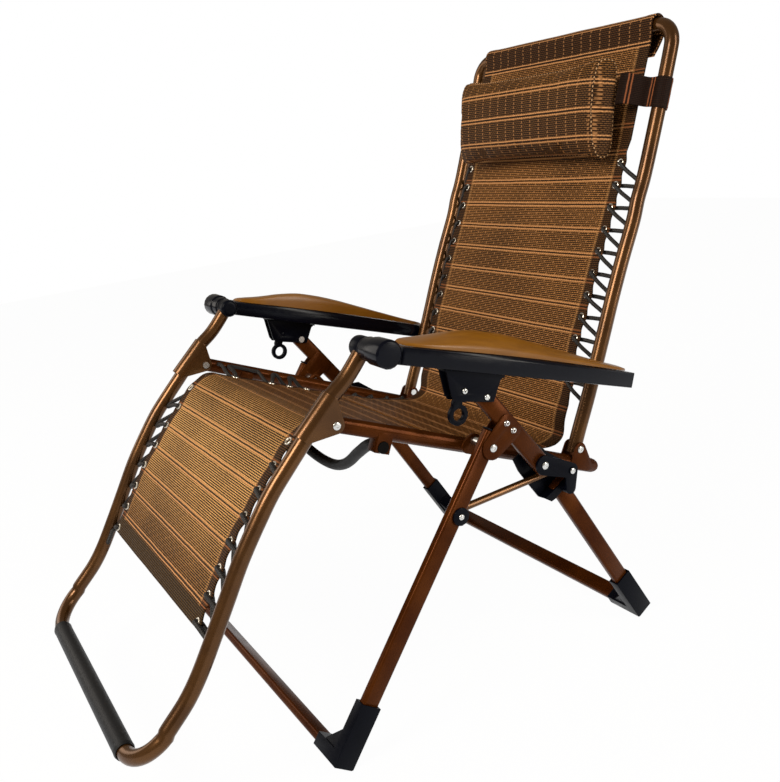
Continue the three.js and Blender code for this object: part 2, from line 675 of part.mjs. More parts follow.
for (const [name, side] of sides) {
  const seatEar = slab(
    band([seatPin, EAR_RADIUS], [onRail(-EAR_RADIUS), EAR_RADIUS], [onRail(EAR_RADIUS), EAR_RADIUS]),
    side * (railOuter - EAR_SHEET),
    side * (railOuter + EAR_SHEET),
    [[seatPin, pinHole]],
  );
  const earOutline = band(
    [backPin, EAR_RADIUS],
    [onRail(BACK_PIN_RUN - RIVET_LOBE), EAR_RADIUS - EAR_SHEET],
    [onRail(BACK_PIN_RUN + RIVET_LOBE), EAR_RADIUS - EAR_SHEET],
  );
  const earGap = FRAME_TUBE / 2 + GAP;
  const backEars = [-1, 1].map((way) => slab(
    earOutline,
    side * (BACK_PLANE + way * earGap),
    side * (BACK_PLANE + way * (earGap + EAR_SHEET)),
  ));
  // The inner ear stands off the rail on a foot as thick as the space between them
  const footing = slab(
    band([onRail(BACK_PIN_RUN), RAIL_TALL / 2 - EAR_SHEET]),
    side * (BACK_PLANE - earGap - EAR_SHEET),
    side * RAIL_PLANE,
  );
  const clampStart = along(crossOnRail, railWay, -CLAMP_LENGTH / 2);
  const clampEnd = along(crossOnRail, railWay, CLAMP_LENGTH / 2);
  const clampDepth = underRail + CROSS_TUBE / 2;
  const clamp = slab(
    [clampStart, along(clampStart, railUp, -clampDepth), along(clampEnd, railUp, -clampDepth), clampEnd],
    side * (RAIL_PLANE - RAIL_THICK / 2 - EAR_SHEET),
    side * (RAIL_PLANE + RAIL_THICK / 2),
  );
  const clampBore = rod(
    crossPlace,
    CROSS_TUBE / 2 + 2 * GAP,
    RAIL_PLANE - 2 * RAIL_THICK,
    RAIL_PLANE + 2 * RAIL_THICK,
    side,
    SMALL_SIDES,
  );
  const holes = [railFrontPin, backPin].map((pin) => (
    rod(pin, pinHole, RAIL_PLANE - FRAME_TUBE, RAIL_PLANE + FRAME_TUBE, side, SMALL_SIDES)
  ));
  const rail = cut(join(ovalRail(side), seatEar, ...backEars, footing, clamp), clampBore, ...holes);
  const seatHole = rod(seatPin, pinHole, railOuter - GAP, railOuter + FRAME_TUBE, side, SMALL_SIDES);
  add(`seat_rail_${name}`, cut(rail, seatHole), 'brown');

  const backPinSteps = [
    [BACK_PLANE - earGap - EAR_SHEET - GAP - HEAD_THICK, PIN_HEAD / 2],
    [BACK_PLANE - earGap - EAR_SHEET - GAP, PIN_HEAD / 2],
    [BACK_PLANE - earGap - EAR_SHEET - GAP, PIN / 2],
    [BACK_PLANE + earGap + EAR_SHEET + GAP, PIN / 2],
    [BACK_PLANE + earGap + EAR_SHEET + GAP, PIN_HEAD / 2],
    [BACK_PLANE + earGap + EAR_SHEET + GAP + HEAD_THICK, PIN_HEAD / 2],
  ];
  add(`back_pin_${name}`, turned(backPin, backPinSteps, side, SMALL_SIDES), 'steel');

  const wrap = FRAME_TUBE / 2 + BRACKET_SHEET;
  const frontPinSteps = [
    [LEG_REST_PLANE - wrap - GAP - HEAD_THICK, PIN_HEAD / 2],
    [LEG_REST_PLANE - wrap - GAP, PIN_HEAD / 2],
    [LEG_REST_PLANE - wrap - GAP, PIN / 2],
    [LEG_REST_PLANE + wrap + GAP, PIN / 2],
    [LEG_REST_PLANE + wrap + GAP, PIN_HEAD / 2],
    [LEG_REST_PLANE + wrap + GAP + HEAD_THICK, PIN_HEAD / 2],
  ];
  add(`leg_rest_pin_${name}`, turned(railFrontPin, frontPinSteps, side, SMALL_SIDES), 'steel');
}

// Leg rest frame: shares of its reach and drop, down from the armrest pin
const legRestShares = [
  [0, 0], [0.085, 0.077], [0.17, 0.132], [0.25, 0.207], [0.33, 0.276], [0.4, 0.338],
  [0.457, 0.4], [0.54, 0.5], [0.61, 0.6], [0.68, 0.7], [0.75, 0.795], [0.8, 0.85],
  [0.86, 0.9], [0.93, 0.955], [1, 1],
];
const legRestPlaces = legRestShares.map(([reach, drop]) => at(
  armFrontPin.x - reach * LEG_REST_REACH,
  armFrontPin.y - drop * LEG_REST_DROP,
));
const bracketShare = 0.45;
const legRestProfile = smooth(legRestPlaces, TUBE_STEPS);
const legRestTube = bentFrame(legRestProfile, LEG_REST_PLANE, FRAME_TUBE / 2, FOOT_BEND);
const bracketAt = legRestPlaces[2].clone().lerp(legRestPlaces[3], bracketShare);
const bracketWay = unit(legRestPlaces[1], legRestPlaces[3]);
const bracketPieces = sides.flatMap(([, side]) => {
  const wrap = FRAME_TUBE / 2 + BRACKET_SHEET;
  const half = BRACKET_LENGTH / 2;
  const sleeve = tube([
    spot(side * LEG_REST_PLANE, along(bracketAt, bracketWay, -half)),
    spot(side * LEG_REST_PLANE, along(bracketAt, bracketWay, half)),
  ], wrap);
  const cheekOutline = band(
    [along(bracketAt, bracketWay, -half + wrap / 2), wrap / 2],
    [along(bracketAt, bracketWay, half - wrap / 2), wrap / 2],
    [railFrontPin, EAR_RADIUS],
  );
  const cheeks = [-1, 1].map((way) => slab(
    cheekOutline,
    side * (LEG_REST_PLANE + way * (FRAME_TUBE / 2 + GAP)),
    side * (LEG_REST_PLANE + way * wrap),
    [[railFrontPin, pinHole]],
  ));
  return [sleeve, ...cheeks];
});
const legRestJoined = join(legRestTube, ...bracketPieces);
const railRoom = RAIL_THICK / 2 + GAP;
const bracketBores = sides.map(([, side]) => (
  rod(railFrontPin, RAIL_TALL / 2 + GAP, RAIL_PLANE - railRoom, RAIL_PLANE + railRoom, side)
));
add('leg_rest_frame', cut(legRestJoined, ...bracketBores), 'bronze');

const footBar = legRestPlaces[legRestPlaces.length - 1];
const gripOuter = rod(footBar, GRIP / 2, -gripHalf, gripHalf, 1);
const gripBore = rod(footBar, FRAME_TUBE / 2 + 3 * GAP, -gripHalf - OVERRUN, gripHalf + OVERRUN, 1);
add('foam_grip', cut(gripOuter, gripBore), 'foam');

// Back frame: shares of its reach and rise, up from the back pin
const backShares = [
  [0, 0], [0.046, 0.043], [0.138, 0.124], [0.272, 0.253], [0.375, 0.355], [0.477, 0.449],
  [0.587, 0.543], [0.629, 0.59], [0.682, 0.636], [0.77, 0.73], [0.933, 0.915], [1, 1],
];
const backPlaces = backShares.map(([reach, rise]) => at(
  backPin.x + reach * BACK_REACH,
  backPin.y + rise * BACK_RISE,
));
const backLow = along(backPin, unit(backPlaces[1], backPlaces[0]), TUBE_END);
const backProfile = smooth([backLow, ...backPlaces], TUBE_STEPS);
const backTube = bentFrame(backProfile, BACK_PLANE, FRAME_TUBE / 2, HEAD_BEND);
const backStubs = sides.map(([, side]) => (
  rod(armRearPin, ARM_REAR_STUB / 2, BACK_PLANE, ARM_INNER + STUB_LENGTH, side, SMALL_SIDES)
));
const backHoles = sides.map(([, side]) => (
  rod(backPin, pinHole, BACK_PLANE - FRAME_TUBE, BACK_PLANE + FRAME_TUBE, side, SMALL_SIDES)
));
add('back_frame', cut(join(backTube, ...backStubs), ...backHoles), 'bronze');

// Armrests: top bow as a share of the length
const armPlace = (run, rise) => along(along(armFrontPin, armWay, run), armUp, rise);
const armTop = (share) => ARM_DEPTH / 2 + ARM_BOW * 4 * share * (1 - share);
const armRun = (share) => ARM_FRONT + share * (ARM_LENGTH - ARM_FRONT);
const inlayShares = [0.12, 0.4, 0.78, 1, 0.98, 0.86, 0.68, 0.5, 0.34, 0.2, 0.1];

function armrest(side) {
  const steps = Array.from({ length: ARM_STEPS + 1 }, (_, i) => i / ARM_STEPS);
  const top = steps.map((share) => armPlace(armRun(share), armTop(share)));
  const outline = [
    armPlace(ARM_FRONT, -ARM_DEPTH / 2),
    armPlace(ARM_LENGTH, -ARM_DEPTH / 2),
    ...top.reverse(),
  ];
  const board = slab(outline, side * ARM_INNER, side * armOuter, [], ARM_EDGE);
  const housingStart = LEG_REST_PLANE + FRAME_TUBE / 2 + KNUCKLE_LIP;
  const rim = HOUSING / 2;
  const housing = turned(armFrontPin, [
    [housingStart, rim - ARM_EDGE],
    [armOuter - HOUSING + ARM_EDGE, rim - ARM_EDGE],
    [armOuter - HOUSING + 2 * ARM_EDGE, rim - GAP],
    [armOuter - ARM_EDGE, rim],
    [armOuter, rim - ARM_EDGE],
  ], side);
  const bore = rod(
    armFrontPin,
    KNUCKLE_STUB / 2 + GAP,
    housingStart - OVERRUN,
    housingStart + STUB_LENGTH + GAP,
    side,
    SMALL_SIDES,
  );
  const rearBore = rod(
    armRearPin,
    ARM_REAR_STUB / 2 + ARM_REAR_PLAY,
    ARM_INNER - OVERRUN,
    ARM_INNER + STUB_LENGTH + OVERRUN,
    side,
    SMALL_SIDES,
  );
  const neck = slab(
    [
      armPlace(0, -ARM_DEPTH / 2),
      armPlace(ARM_FRONT + ARM_EDGE, -ARM_DEPTH / 2),
      armPlace(ARM_FRONT + ARM_EDGE, ARM_DEPTH / 2),
      armPlace(0, ARM_DEPTH / 2),
    ],
    side * (housingStart + ARM_EDGE),
    side * (armOuter - ARM_EDGE),
  );
  return cut(join(board, housing, neck), bore, rearBore);
}

// Height of the inlay over the armrest, a smooth line through its shares
function inlayRise(share) {
  const curve = new THREE.SplineCurve(inlayShares.map((rise, i) => at(i / (inlayShares.length - 1), rise)));
  return curve.getPoint(share).y;
}

function inlay(side) {
  const geometry = new THREE.BoxGeometry(1, 1, 1, INLAY_ROWS, INLAY_COLUMNS, 1);
  const { position } = geometry.attributes;
  const halfWidth = ARM_WIDTH / 2 - INLAY_MARGIN;
  const middle = side * (ARM_INNER + ARM_WIDTH / 2);
  for (let i = 0; i < position.count; i += 1) {
    const share = position.getX(i) + 1 / 2;
    const outward = -2 * side * position.getY(i);
    const upper = position.getZ(i) > 0;
    const run = INLAY_START + share * (ARM_LENGTH - INLAY_END - INLAY_START);
    const boardShare = (run - ARM_FRONT) / (ARM_LENGTH - ARM_FRONT);
    const rounded = Math.sqrt(1 - inlayEndShare * Math.abs(2 * share - 1) ** INLAY_END_POWER);
    const fromCrest = (outward + crestShare) / (1 + crestShare);
    const crown = INLAY_CROWN * inlayRise(share) * (1 - inlayEdgeShare * fromCrest * fromCrest);
    const rise = armTop(boardShare) + GAP * 2 + (upper ? INLAY_EDGE + crown : 0);
    const place = armPlace(run, rise);
    position.setXYZ(i, middle + side * outward * halfWidth * rounded, place.x, place.y);
  }
  return geometry;
}

for (const [name, side] of sides) {
  add(`armrest_${name}`, armrest(side), 'black');
  add(`inlay_${name}`, inlay(side), 'caramel');

  const knuckleEnd = LEG_REST_PLANE + FRAME_TUBE / 2 + KNUCKLE_LIP - GAP;
  const barrel = turned(armFrontPin, [
    [KNUCKLE_INNER, KNUCKLE / 2 - ARM_EDGE],
    [KNUCKLE_INNER + ARM_EDGE, KNUCKLE / 2],
    [knuckleEnd, KNUCKLE / 2],
    [knuckleEnd, KNUCKLE_STUB / 2],
    [knuckleEnd + STUB_LENGTH, KNUCKLE_STUB / 2],
  ], side);
  const socketWay = unit(legRestProfile[0], legRestProfile[1]);
  const socket = tube([
    spot(side * LEG_REST_PLANE, along(armFrontPin, socketWay, -GAP * 2)),
    spot(side * LEG_REST_PLANE, along(armFrontPin, socketWay, KNUCKLE)),
  ], FRAME_TUBE / 2 + 2 * GAP);
  add(`arm_knuckle_${name}`, cut(barrel, socket), 'black');
}

// Arm shoes on the hangers: outline shares of the armrest depth, from the arm pin
const underArm = (y) => {
  const run = (y - armFrontPin.x - (ARM_DEPTH / 2) * -armUp.x) / armWay.x;
  return armPlace(run, -ARM_DEPTH / 2 - GAP);
};
const shoeShares = [[-2.45, 0.62], [-2.27, 0.31], [0.46, -0.42], [1.08, 0.77]];
const shoeTopShares = [1.46, -2.69];
const leverPin = at(armPin.x - LEVER_BACK, armPin.y + LEVER_RISE);

for (const [name, side] of sides) {
  const low = shoeShares.map(([run, rise]) => at(armPin.x + run * ARM_DEPTH, armPin.y + rise * ARM_DEPTH));
  const high = shoeTopShares.map((share) => underArm(armPin.x + share * ARM_DEPTH));
  const outline = [...low, ...high];
  const holes = [[armPin, pinHole], [leverPin, pinHole]];
  const cheekOutside = outerFace + GAP + PLASTIC_WALL;
  const cheekInside = innerFace - GAP - PLASTIC_WALL;
  const outer = slab(outline, side * (outerFace + GAP), side * cheekOutside, holes);
  const inner = slab(outline, side * (innerFace - GAP), side * cheekInside, holes);
  const webOutline = [
    high[0],
    high[1],
    along(high[1], armUp, -SHOE_WEB),
    along(high[0], armUp, -SHOE_WEB),
  ];
  const web = slab(webOutline, side * cheekInside, side * cheekOutside);
  add(`arm_shoe_${name}`, join(outer, inner, web), 'black');

  const pinSteps = (start) => [
    [start - GAP - HEAD_THICK, PIN_HEAD / 2],
    [start - GAP, PIN_HEAD / 2],
    [start - GAP, PIN / 2],
    [cheekOutside + GAP, PIN / 2],
    [cheekOutside + GAP, RIVET_HEAD / 2],
    [cheekOutside + GAP + HEAD_THICK, RIVET_HEAD / 2],
  ];
  add(`arm_pin_${name}`, turned(armPin, pinSteps(cheekInside), side, SMALL_SIDES), 'steel');

  const ringAt = at(leverPin.x - RING_FORWARD, leverPin.y - RING_DROP);
  const inside = side * (HANGER_PLANE - LEVER_THICK / 2);
  const outside = side * (HANGER_PLANE + LEVER_THICK / 2);
  const stemEnd = at(ringAt.x, ringAt.y + RING_OUTER);
  const stem = slab(band([leverPin, LEVER_EYE], [stemEnd, LEVER_EYE]), inside, outside);
  const ring = slab(band([ringAt, RING_OUTER]), inside, outside);
  const opening = rod(ringAt, RING_INNER, innerFace, outerFace, side);
  const leverShaft = turned(leverPin, [
    [cheekInside + GAP, PIN / 2],
    [cheekOutside - GAP, PIN / 2],
    [cheekOutside - GAP, PIN / 2 - GAP],
    [cheekOutside + HEAD_THICK, PIN / 2 - GAP],
  ], side, SMALL_SIDES);
  add(`lock_lever_${name}`, join(cut(join(stem, ring), opening), leverShaft), 'black');
}

// The place on a frame tube's centre line at a height
function levelOn(profile, height) {
  const index = profile.findIndex((place, i) => (
    i > 0 && (place.y - height) * (profile[i - 1].y - height) <= 0
  ));
  const from = profile[index - 1];
  const to = profile[index];
  return from.clone().lerp(to, (height - from.y) / (to.y - from.y));
}

// Sling edges beside the tubes: share of the tube's rise or drop, share of its width in front
const backEdgeShares = [
  [0.06, 0.16], [0.145, 0.2], [0.235, 0.62], [0.33, 0.5], [0.44, 0.5], [0.55, 0.5], [0.66, 0.5],
  [0.77, 0.5], [0.88, 0.55],
];
const backEdge = ([rise, before]) => {
  const level = levelOn(backProfile, backPin.y + rise * BACK_RISE);
  return at(level.x - before * FRAME_TUBE, level.y);
};
const backTubePlace = ([rise]) => levelOn(backProfile, backPin.y + rise * BACK_RISE);
const topBar = backPlaces[backPlaces.length - 1];
const sleeveShares = [
  [-0.66, -0.6], [-0.68, 0], [-0.5, 0.56], [0.02, 0.84], [0.5, 0.56], [0.68, 0], [0.62, -0.5],
];
const sleevePlaces = sleeveShares.map(([run, rise]) => at(
  topBar.x + run * FRAME_TUBE,
  topBar.y + rise * FRAME_TUBE,
));
const hip = at(backPin.x + FRAME_TUBE / 5, backPin.y + FRAME_TUBE / 3);
const backSlingPlaces = [hip, ...backEdgeShares.map(backEdge), ...sleevePlaces];

// Seat edge: share of the rail between its front pin and its end, share of a tube's width above
const seatEdgeShares = [[0.885, 0.62], [0.8, 0.2], [0.7, -0.1], [0.5, -0.3], [0.25, -0.36], [0.03, -0.42]];
const seatSpan = railFrontPin.distanceTo(railEnd);
const seatSlingPlaces = seatEdgeShares.map(([run, rise]) => (
  along(along(railFrontPin, railWay, run * seatSpan), railUp, rise * FRAME_TUBE)
));

// Leg edge: share of the leg rest's drop, share of the tube's width behind
const legEdgeShares = [
  [0.25, 0.52], [0.305, 0.56], [0.363, 0.44], [0.416, 0.36], [0.48, 0.1], [0.6, -0.05], [0.707, -0.2],
];
const legEdge = ([drop, behind]) => {
  const level = levelOn(legRestProfile, armFrontPin.y - drop * LEG_REST_DROP);
  return at(level.x + behind * FRAME_TUBE, level.y);
};
const legTubePlace = ([drop]) => levelOn(legRestProfile, armFrontPin.y - drop * LEG_REST_DROP);
const kneeShares = [[-0.01, -0.46], [-0.72, -0.44]];
const kneePlaces = kneeShares.map(([run, rise]) => at(
  railFrontPin.x + run * FRAME_TUBE,
  railFrontPin.y + rise * FRAME_TUBE,
));
const legSlingPlaces = [...kneePlaces, ...legEdgeShares.map(legEdge)];

// A sheet that follows side places, as thick as the fabric
function sheet(places, half) {
  const line = smooth(places, SHEET_STEPS * places.length);
  const normal = (i) => {
    const before = line[Math.max(i - 1, 0)];
    const after = line[Math.min(i + 1, line.length - 1)];
    return across(unit(before, after));
  };
  const front = line.map((point, i) => along(point, normal(i), FABRIC / 2));
  const rear = line.map((point, i) => along(point, normal(i), -FABRIC / 2));
  return slab([...front, ...rear.reverse()], -half, half);
}

add('sling_back', sheet(backSlingPlaces, fabricHalf), 'fabric');
add('sling_seat', sheet(seatSlingPlaces, fabricHalf), 'fabric');
add('sling_leg', sheet(legSlingPlaces, fabricHalf), 'fabric');

// Lacing: from the sling's edge to the tube's inner side and back, one zigzag to a pitch
const cordEdge = fabricHalf + GAP + CORD / 2;
// Angle of the ties on the tube, from straight inwards towards its front
const TIE_TURN = 25;

function lacing(edgeLine, tubeLine, plane, half, side, loops, turn) {
  const edgeCurve = curveThrough(edgeLine);
  const tubeCurve = curveThrough(tubeLine);
  const reach = half + CORD / 2 + 2 * GAP;
  const inward = plane - reach * Math.cos(turn * degrees);
  const points = loops.flatMap((share) => {
    const edge = edgeCurve.getPointAt(share);
    const later = Math.min(share + loops.pitch / 2, 1);
    const way = tubeCurve.getTangentAt(later);
    const front = new THREE.Vector3(0, -way.z, way.y);
    const tie = tubeCurve.getPointAt(later).addScaledVector(front, reach * Math.sin(turn * degrees));
    return [
      new THREE.Vector3(side * cordEdge, edge.y, edge.z),
      new THREE.Vector3(side * inward, tie.y, tie.z),
    ];
  });
  const last = edgeCurve.getPointAt(Math.min(loops[loops.length - 1] + loops.pitch, 1));
  points.push(new THREE.Vector3(side * cordEdge, last.y, last.z));
  return tube(points, CORD / 2, CORD_SIDES);
}

// Loops at the lacing pitch along a line, left out where a bracket or armrest is in the way
function spread(length, start, end, blocked) {
  const count = Math.floor((end - start) / LACE_PITCH);
  const places = Array.from({ length: count }, (_, i) => start + i * LACE_PITCH);
  const free = places.filter((place) => blocked.every(([from, to]) => place < from || place > to));
  const loops = free.map((place) => place / length);
  loops.pitch = LACE_PITCH / length;
  return loops;
}

const seatLine = [...seatSlingPlaces].reverse();
const railRuns = [seatEdgeShares[seatEdgeShares.length - 1], seatEdgeShares[0]];
const railLine = railRuns.map(([run]) => along(railFrontPin, railWay, run * seatSpan));
const alongRailLine = (run) => (RAIL_FRONT_RUN + run) / railWay.x - railRuns[0][0] * seatSpan;
const lineLength = (line) => line.slice(1).reduce((sum, place, i) => sum + place.distanceTo(line[i]), 0);
// Lacing lines follow the edges and the tubes beside them
const backLaceShares = backEdgeShares.slice(1, 8);
const backLaceLine = backLaceShares.map(backEdge);
const backTubeLine = backLaceShares.map(backTubePlace);
const legLaceLine = legEdgeShares.map(legEdge);
const legTubeLine = legEdgeShares.map(legTubePlace);
// Stretch of the back lacing beside the armrest's rear end
const armGapShares = [0, 0.15];

// A stretch that no loop starts in, where a piece of some half length is in the way
const besideLaces = (middle, half) => [middle - half - LACE_PITCH / 2 - CORD, middle + half + CORD];

for (const [name, side] of sides) {
  const backLength = lineLength(backLaceLine);
  const armGap = armGapShares.map((share) => share * backLength);
  const backLoops = spread(backLength, 0, backLength - LACE_PITCH, [armGap]);
  const backLace = lacing(backLaceLine, backTubeLine, BACK_PLANE, FRAME_TUBE / 2, side, backLoops, -TIE_TURN);
  add(`lacing_back_${name}`, backLace, 'cord');

  const legLength = lineLength(legLaceLine);
  const legLoops = spread(legLength, LACE_PITCH / 2, legLength - LACE_PITCH / 2, []);
  const legLace = lacing(legLaceLine, legTubeLine, LEG_REST_PLANE, FRAME_TUBE / 2, side, legLoops, TIE_TURN);
  add(`lacing_leg_${name}`, legLace, 'cord');

  const seatLength = lineLength(seatLine);
  const seatLoops = spread(seatLength, LACE_PITCH, seatLength - LACE_PITCH, [
    besideLaces(alongRailLine(0), 2 * EAR_RADIUS),
    besideLaces(alongRailLine(-CROSS_TUBE_RUN), CLAMP_LENGTH / 2),
  ]);
  const seatLace = lacing(seatLine, railLine, RAIL_PLANE, RAIL_THICK / 2, side, seatLoops, -TIE_TURN);
  add(`lacing_seat_${name}`, seatLace, 'cord');
}

// Head pillow: thickest in the middle, with sides drawn in between its corners
const pillowHeight = topBar.y - PILLOW_DROP;
const pillowCentre = at(levelOn(backProfile, pillowHeight).x - PILLOW_AHEAD, pillowHeight);
const pillowUp = at(Math.sin(PILLOW_LEAN * degrees), Math.cos(PILLOW_LEAN * degrees));
const pillowOut = across(pillowUp);
// Thickness left at the pillow's ends, and how far its long edges are pinched
const endThickShare = 0.62;
const seamPinchShare = 0.75;

function pillow() {
  const geometry = new THREE.BoxGeometry(1, 1, 1, PILLOW_COLUMNS, PILLOW_ROWS, PILLOW_LAYERS);
  const { position } = geometry.attributes;
  for (let i = 0; i < position.count; i += 1) {
    const u = 2 * position.getX(i);
    const v = 2 * position.getY(i);
    const fullness = (1 - u ** 6) * (1 - v ** 4);
    const edge = Math.sqrt(1 - seamPinchShare * v ** 6);
    const thick = (PILLOW_THICK / 2) * (endThickShare + (1 - endThickShare) * fullness) * edge;
    const drawnIn = PILLOW_DRAWN * (1 - v * v) * Math.abs(u) ** 8;
    const drawnDown = PILLOW_DRAWN * (1 - u * u) * Math.abs(v) ** 8;
    const x = Math.sign(u) * (Math.abs(u) * pillowHalf - drawnIn);
    const rise = Math.sign(v) * ((Math.abs(v) * PILLOW_TALL) / 2 - drawnDown);
    const out = 2 * position.getZ(i) * thick;
    const place = along(along(pillowCentre, pillowUp, rise), pillowOut, out);
    position.setXYZ(i, x + PILLOW_SHIFT, place.x, place.y);
  }
  return geometry;
}
add('head_pillow', pillow(), 'fabric');

// Pillow straps: a flat loop round each back tube, with a tail to the pillow's end
const strapHeight = pillowHeight + STRAP / 4;
const strapPlace = levelOn(backProfile, strapHeight);
const strapWay = unit(levelOn(backProfile, strapHeight - STRAP), levelOn(backProfile, strapHeight + STRAP));
const strapInner = FRAME_TUBE / 2 + 2 * GAP;
const strapOuter = strapInner + STRAP_SHEET;
const arc = (radius, from, to) => Array.from({ length: SMALL_SIDES + 1 }, (_, i) => {
  const angle = (from + ((to - from) * i) / SMALL_SIDES) * degrees;
  return at(radius * Math.cos(angle), radius * Math.sin(angle));
});

for (const [name, side] of sides) {
  const pillowRun = pillowCentre.x + (strapPlace.y - pillowCentre.y) * (pillowUp.x / pillowUp.y);
  const tail = strapPlace.x - pillowRun;
  const tailTop = strapPlace.y + tail * strapWay.x + (STRAP / 2) * strapWay.y;
  const topEdge = (tailTop - pillowHeight) / (PILLOW_TALL / 2);
  const pillowEnd = pillowHalf + side * PILLOW_SHIFT - PILLOW_DRAWN * (1 - topEdge * topEdge);
  const reach = BACK_PLANE - pillowEnd - GAP;
  const outline = [
    ...arc(strapOuter, -90, 90),
    at(-reach / 3, strapOuter),
    at(-reach, tail + STRAP_SHEET),
    at(-reach, tail),
    at(-reach / 3, strapInner),
    ...arc(strapInner, 90, -90),
    at(-reach / 2, -strapInner),
    at(-reach / 2, -strapOuter),
  ];
  const strap = new THREE.ExtrudeGeometry(new THREE.Shape(outline), { depth: STRAP, bevelEnabled: false });
  strap.translate(0, 0, -STRAP / 2);
  const out = new THREE.Vector3(side, 0, 0);
  const front = new THREE.Vector3(0, -strapWay.y, strapWay.x);
  const up = new THREE.Vector3().crossVectors(out, front);
  strap.applyMatrix4(new THREE.Matrix4().makeBasis(out, front, up));
  strap.translate(side * BACK_PLANE, strapPlace.x, strapPlace.y);
  add(`pillow_strap_${name}`, strap, 'strap');
}

// The group stands on the floor with the middle of its length over the origin
const bounds = new THREE.Box3().setFromObject(recliner);
recliner.position.y = -(bounds.min.y + bounds.max.y) / 2;

export default recliner;
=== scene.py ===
import bisect
import math

import bpy
from mathutils import Matrix, Vector, noise


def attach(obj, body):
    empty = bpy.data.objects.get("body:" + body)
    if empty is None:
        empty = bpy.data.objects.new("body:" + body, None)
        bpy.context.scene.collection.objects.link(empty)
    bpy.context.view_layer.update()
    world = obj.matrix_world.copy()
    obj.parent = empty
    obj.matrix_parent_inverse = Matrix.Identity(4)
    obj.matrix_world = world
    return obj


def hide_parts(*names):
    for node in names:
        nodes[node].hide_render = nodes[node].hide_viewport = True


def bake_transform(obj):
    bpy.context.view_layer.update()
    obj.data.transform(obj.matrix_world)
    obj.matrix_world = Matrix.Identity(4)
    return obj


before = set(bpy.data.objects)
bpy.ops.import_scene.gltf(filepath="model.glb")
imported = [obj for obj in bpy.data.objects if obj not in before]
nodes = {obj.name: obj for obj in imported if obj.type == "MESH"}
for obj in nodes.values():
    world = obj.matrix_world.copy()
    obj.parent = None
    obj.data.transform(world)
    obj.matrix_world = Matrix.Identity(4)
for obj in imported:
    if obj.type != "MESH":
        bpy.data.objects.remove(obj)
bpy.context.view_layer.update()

scene = bpy.context.scene
SIDES = ((1, "left"), (-1, "right"))
TURN = 2 * math.pi

# Sizes of the recliner, in metres; side places are (y, z), and Y0 is the seat pin's y
Y0 = 0.052356
FRAME_R = 0.0125
TUBE = 2 * FRAME_R
BACK_PLANE = 0.2725
RAIL_PLANE = 0.276
LEG_REST_PLANE = 0.278
HANGER_PLANE = 0.3292
FABRIC_HALF = 0.235
HEM = 0.026
SEAT_PIN = Vector((Y0, 0.435))
RAIL_FRONT = SEAT_PIN + Vector((-0.240, 0.093))
RAIL_END = SEAT_PIN + Vector((0.252, -0.122))
BACK_PIN = SEAT_PIN + Vector((0.224, -0.081))
REAR_LEG_PIN = SEAT_PIN + Vector((0.099, -0.059))
ARM_PIN = SEAT_PIN + Vector((-0.004, 0.085))
ARM_FRONT = SEAT_PIN + Vector((-0.172, 0.193))
ARM_REAR = SEAT_PIN + Vector((0.283, 0.053))
STRUT_FRONT = Vector((-0.073 + Y0, 0.342))
STRUT_REAR = SEAT_PIN + Vector((0.155, -0.085))
LEG_REACH, LEG_DROP = 0.443, 0.515
BACK_REACH, BACK_RISE = 0.283, 0.692

# Bends of the frame tubes, as shares of their reach and of their drop or rise
LEG_SHARES = [
    (0, 0), (0.085, 0.077), (0.17, 0.132), (0.25, 0.207), (0.33, 0.276), (0.4, 0.338),
    (0.457, 0.4), (0.54, 0.5), (0.61, 0.6), (0.68, 0.7), (0.75, 0.795), (0.8, 0.85),
    (0.86, 0.9), (0.93, 0.955), (1, 1),
]
BACK_SHARES = [
    (0, 0), (0.046, 0.043), (0.138, 0.124), (0.272, 0.253), (0.375, 0.355), (0.477, 0.449),
    (0.587, 0.543), (0.629, 0.59), (0.682, 0.636), (0.77, 0.73), (0.933, 0.915), (1, 1),
]


# Shape helpers
def spot(x, place):
    """A point at a distance x from the middle plane and a side place."""
    return Vector((x, place.x, place.y))


def eased(value, power):
    """A value's power, with its own sign."""
    return math.copysign(abs(value) ** power, value)


def spline(points, count):
    """Smooth line through points of any dimension, count samples."""
    pts = [tuple(p) for p in points]
    before, after = (tuple(2 * a - b for a, b in zip(*ends)) for ends in (pts[:2], pts[:-3:-1]))
    pts = [before, *pts, after]
    spans = len(pts) - 3
    out = []
    for k in range(count):
        t = k / (count - 1) * spans
        i = min(int(t), spans - 1)
        f = t - i
        p = pts[i:i + 4]
        d = [max(math.dist(a, b) ** 0.5, 1e-6) for a, b in zip(p, p[1:])]
        place = []
        for x0, x1, x2, x3 in zip(*p):
            t1 = ((x1 - x0) / d[0] - (x2 - x0) / (d[0] + d[1]) + (x2 - x1) / d[1]) * d[1]
            t2 = ((x2 - x1) / d[1] - (x3 - x1) / (d[1] + d[2]) + (x3 - x2) / d[2]) * d[1]
            a = 2 * x1 - 2 * x2 + t1 + t2
            b = -3 * x1 + 3 * x2 - 2 * t1 - t2
            place.append(((a * f + b) * f + t1) * f + x1)
        out.append(Vector(place))
    return out


def arc_length(line):
    """The distance along a line at each of its points."""
    runs = [0.0]
    for a, b in zip(line, line[1:]):
        runs.append(runs[-1] + (b - a).length)
    return runs


def lerp_at(points, runs, run):
    """The place at a distance along a line, and the number of the span it lies in."""
    i = min(max(bisect.bisect_left(runs, run) - 1, 0), len(runs) - 2)
    share = (run - runs[i]) / max(runs[i + 1] - runs[i], 1e-9)
    return points[i].lerp(points[i + 1], min(1.0, share)), i


def resample(points, step):
    """Points at an even distance along a line."""
    runs = arc_length(points)
    count = max(2, round(runs[-1] / step) + 1)
    return [lerp_at(points, runs, runs[-1] * k / (count - 1))[0] for k in range(count)]


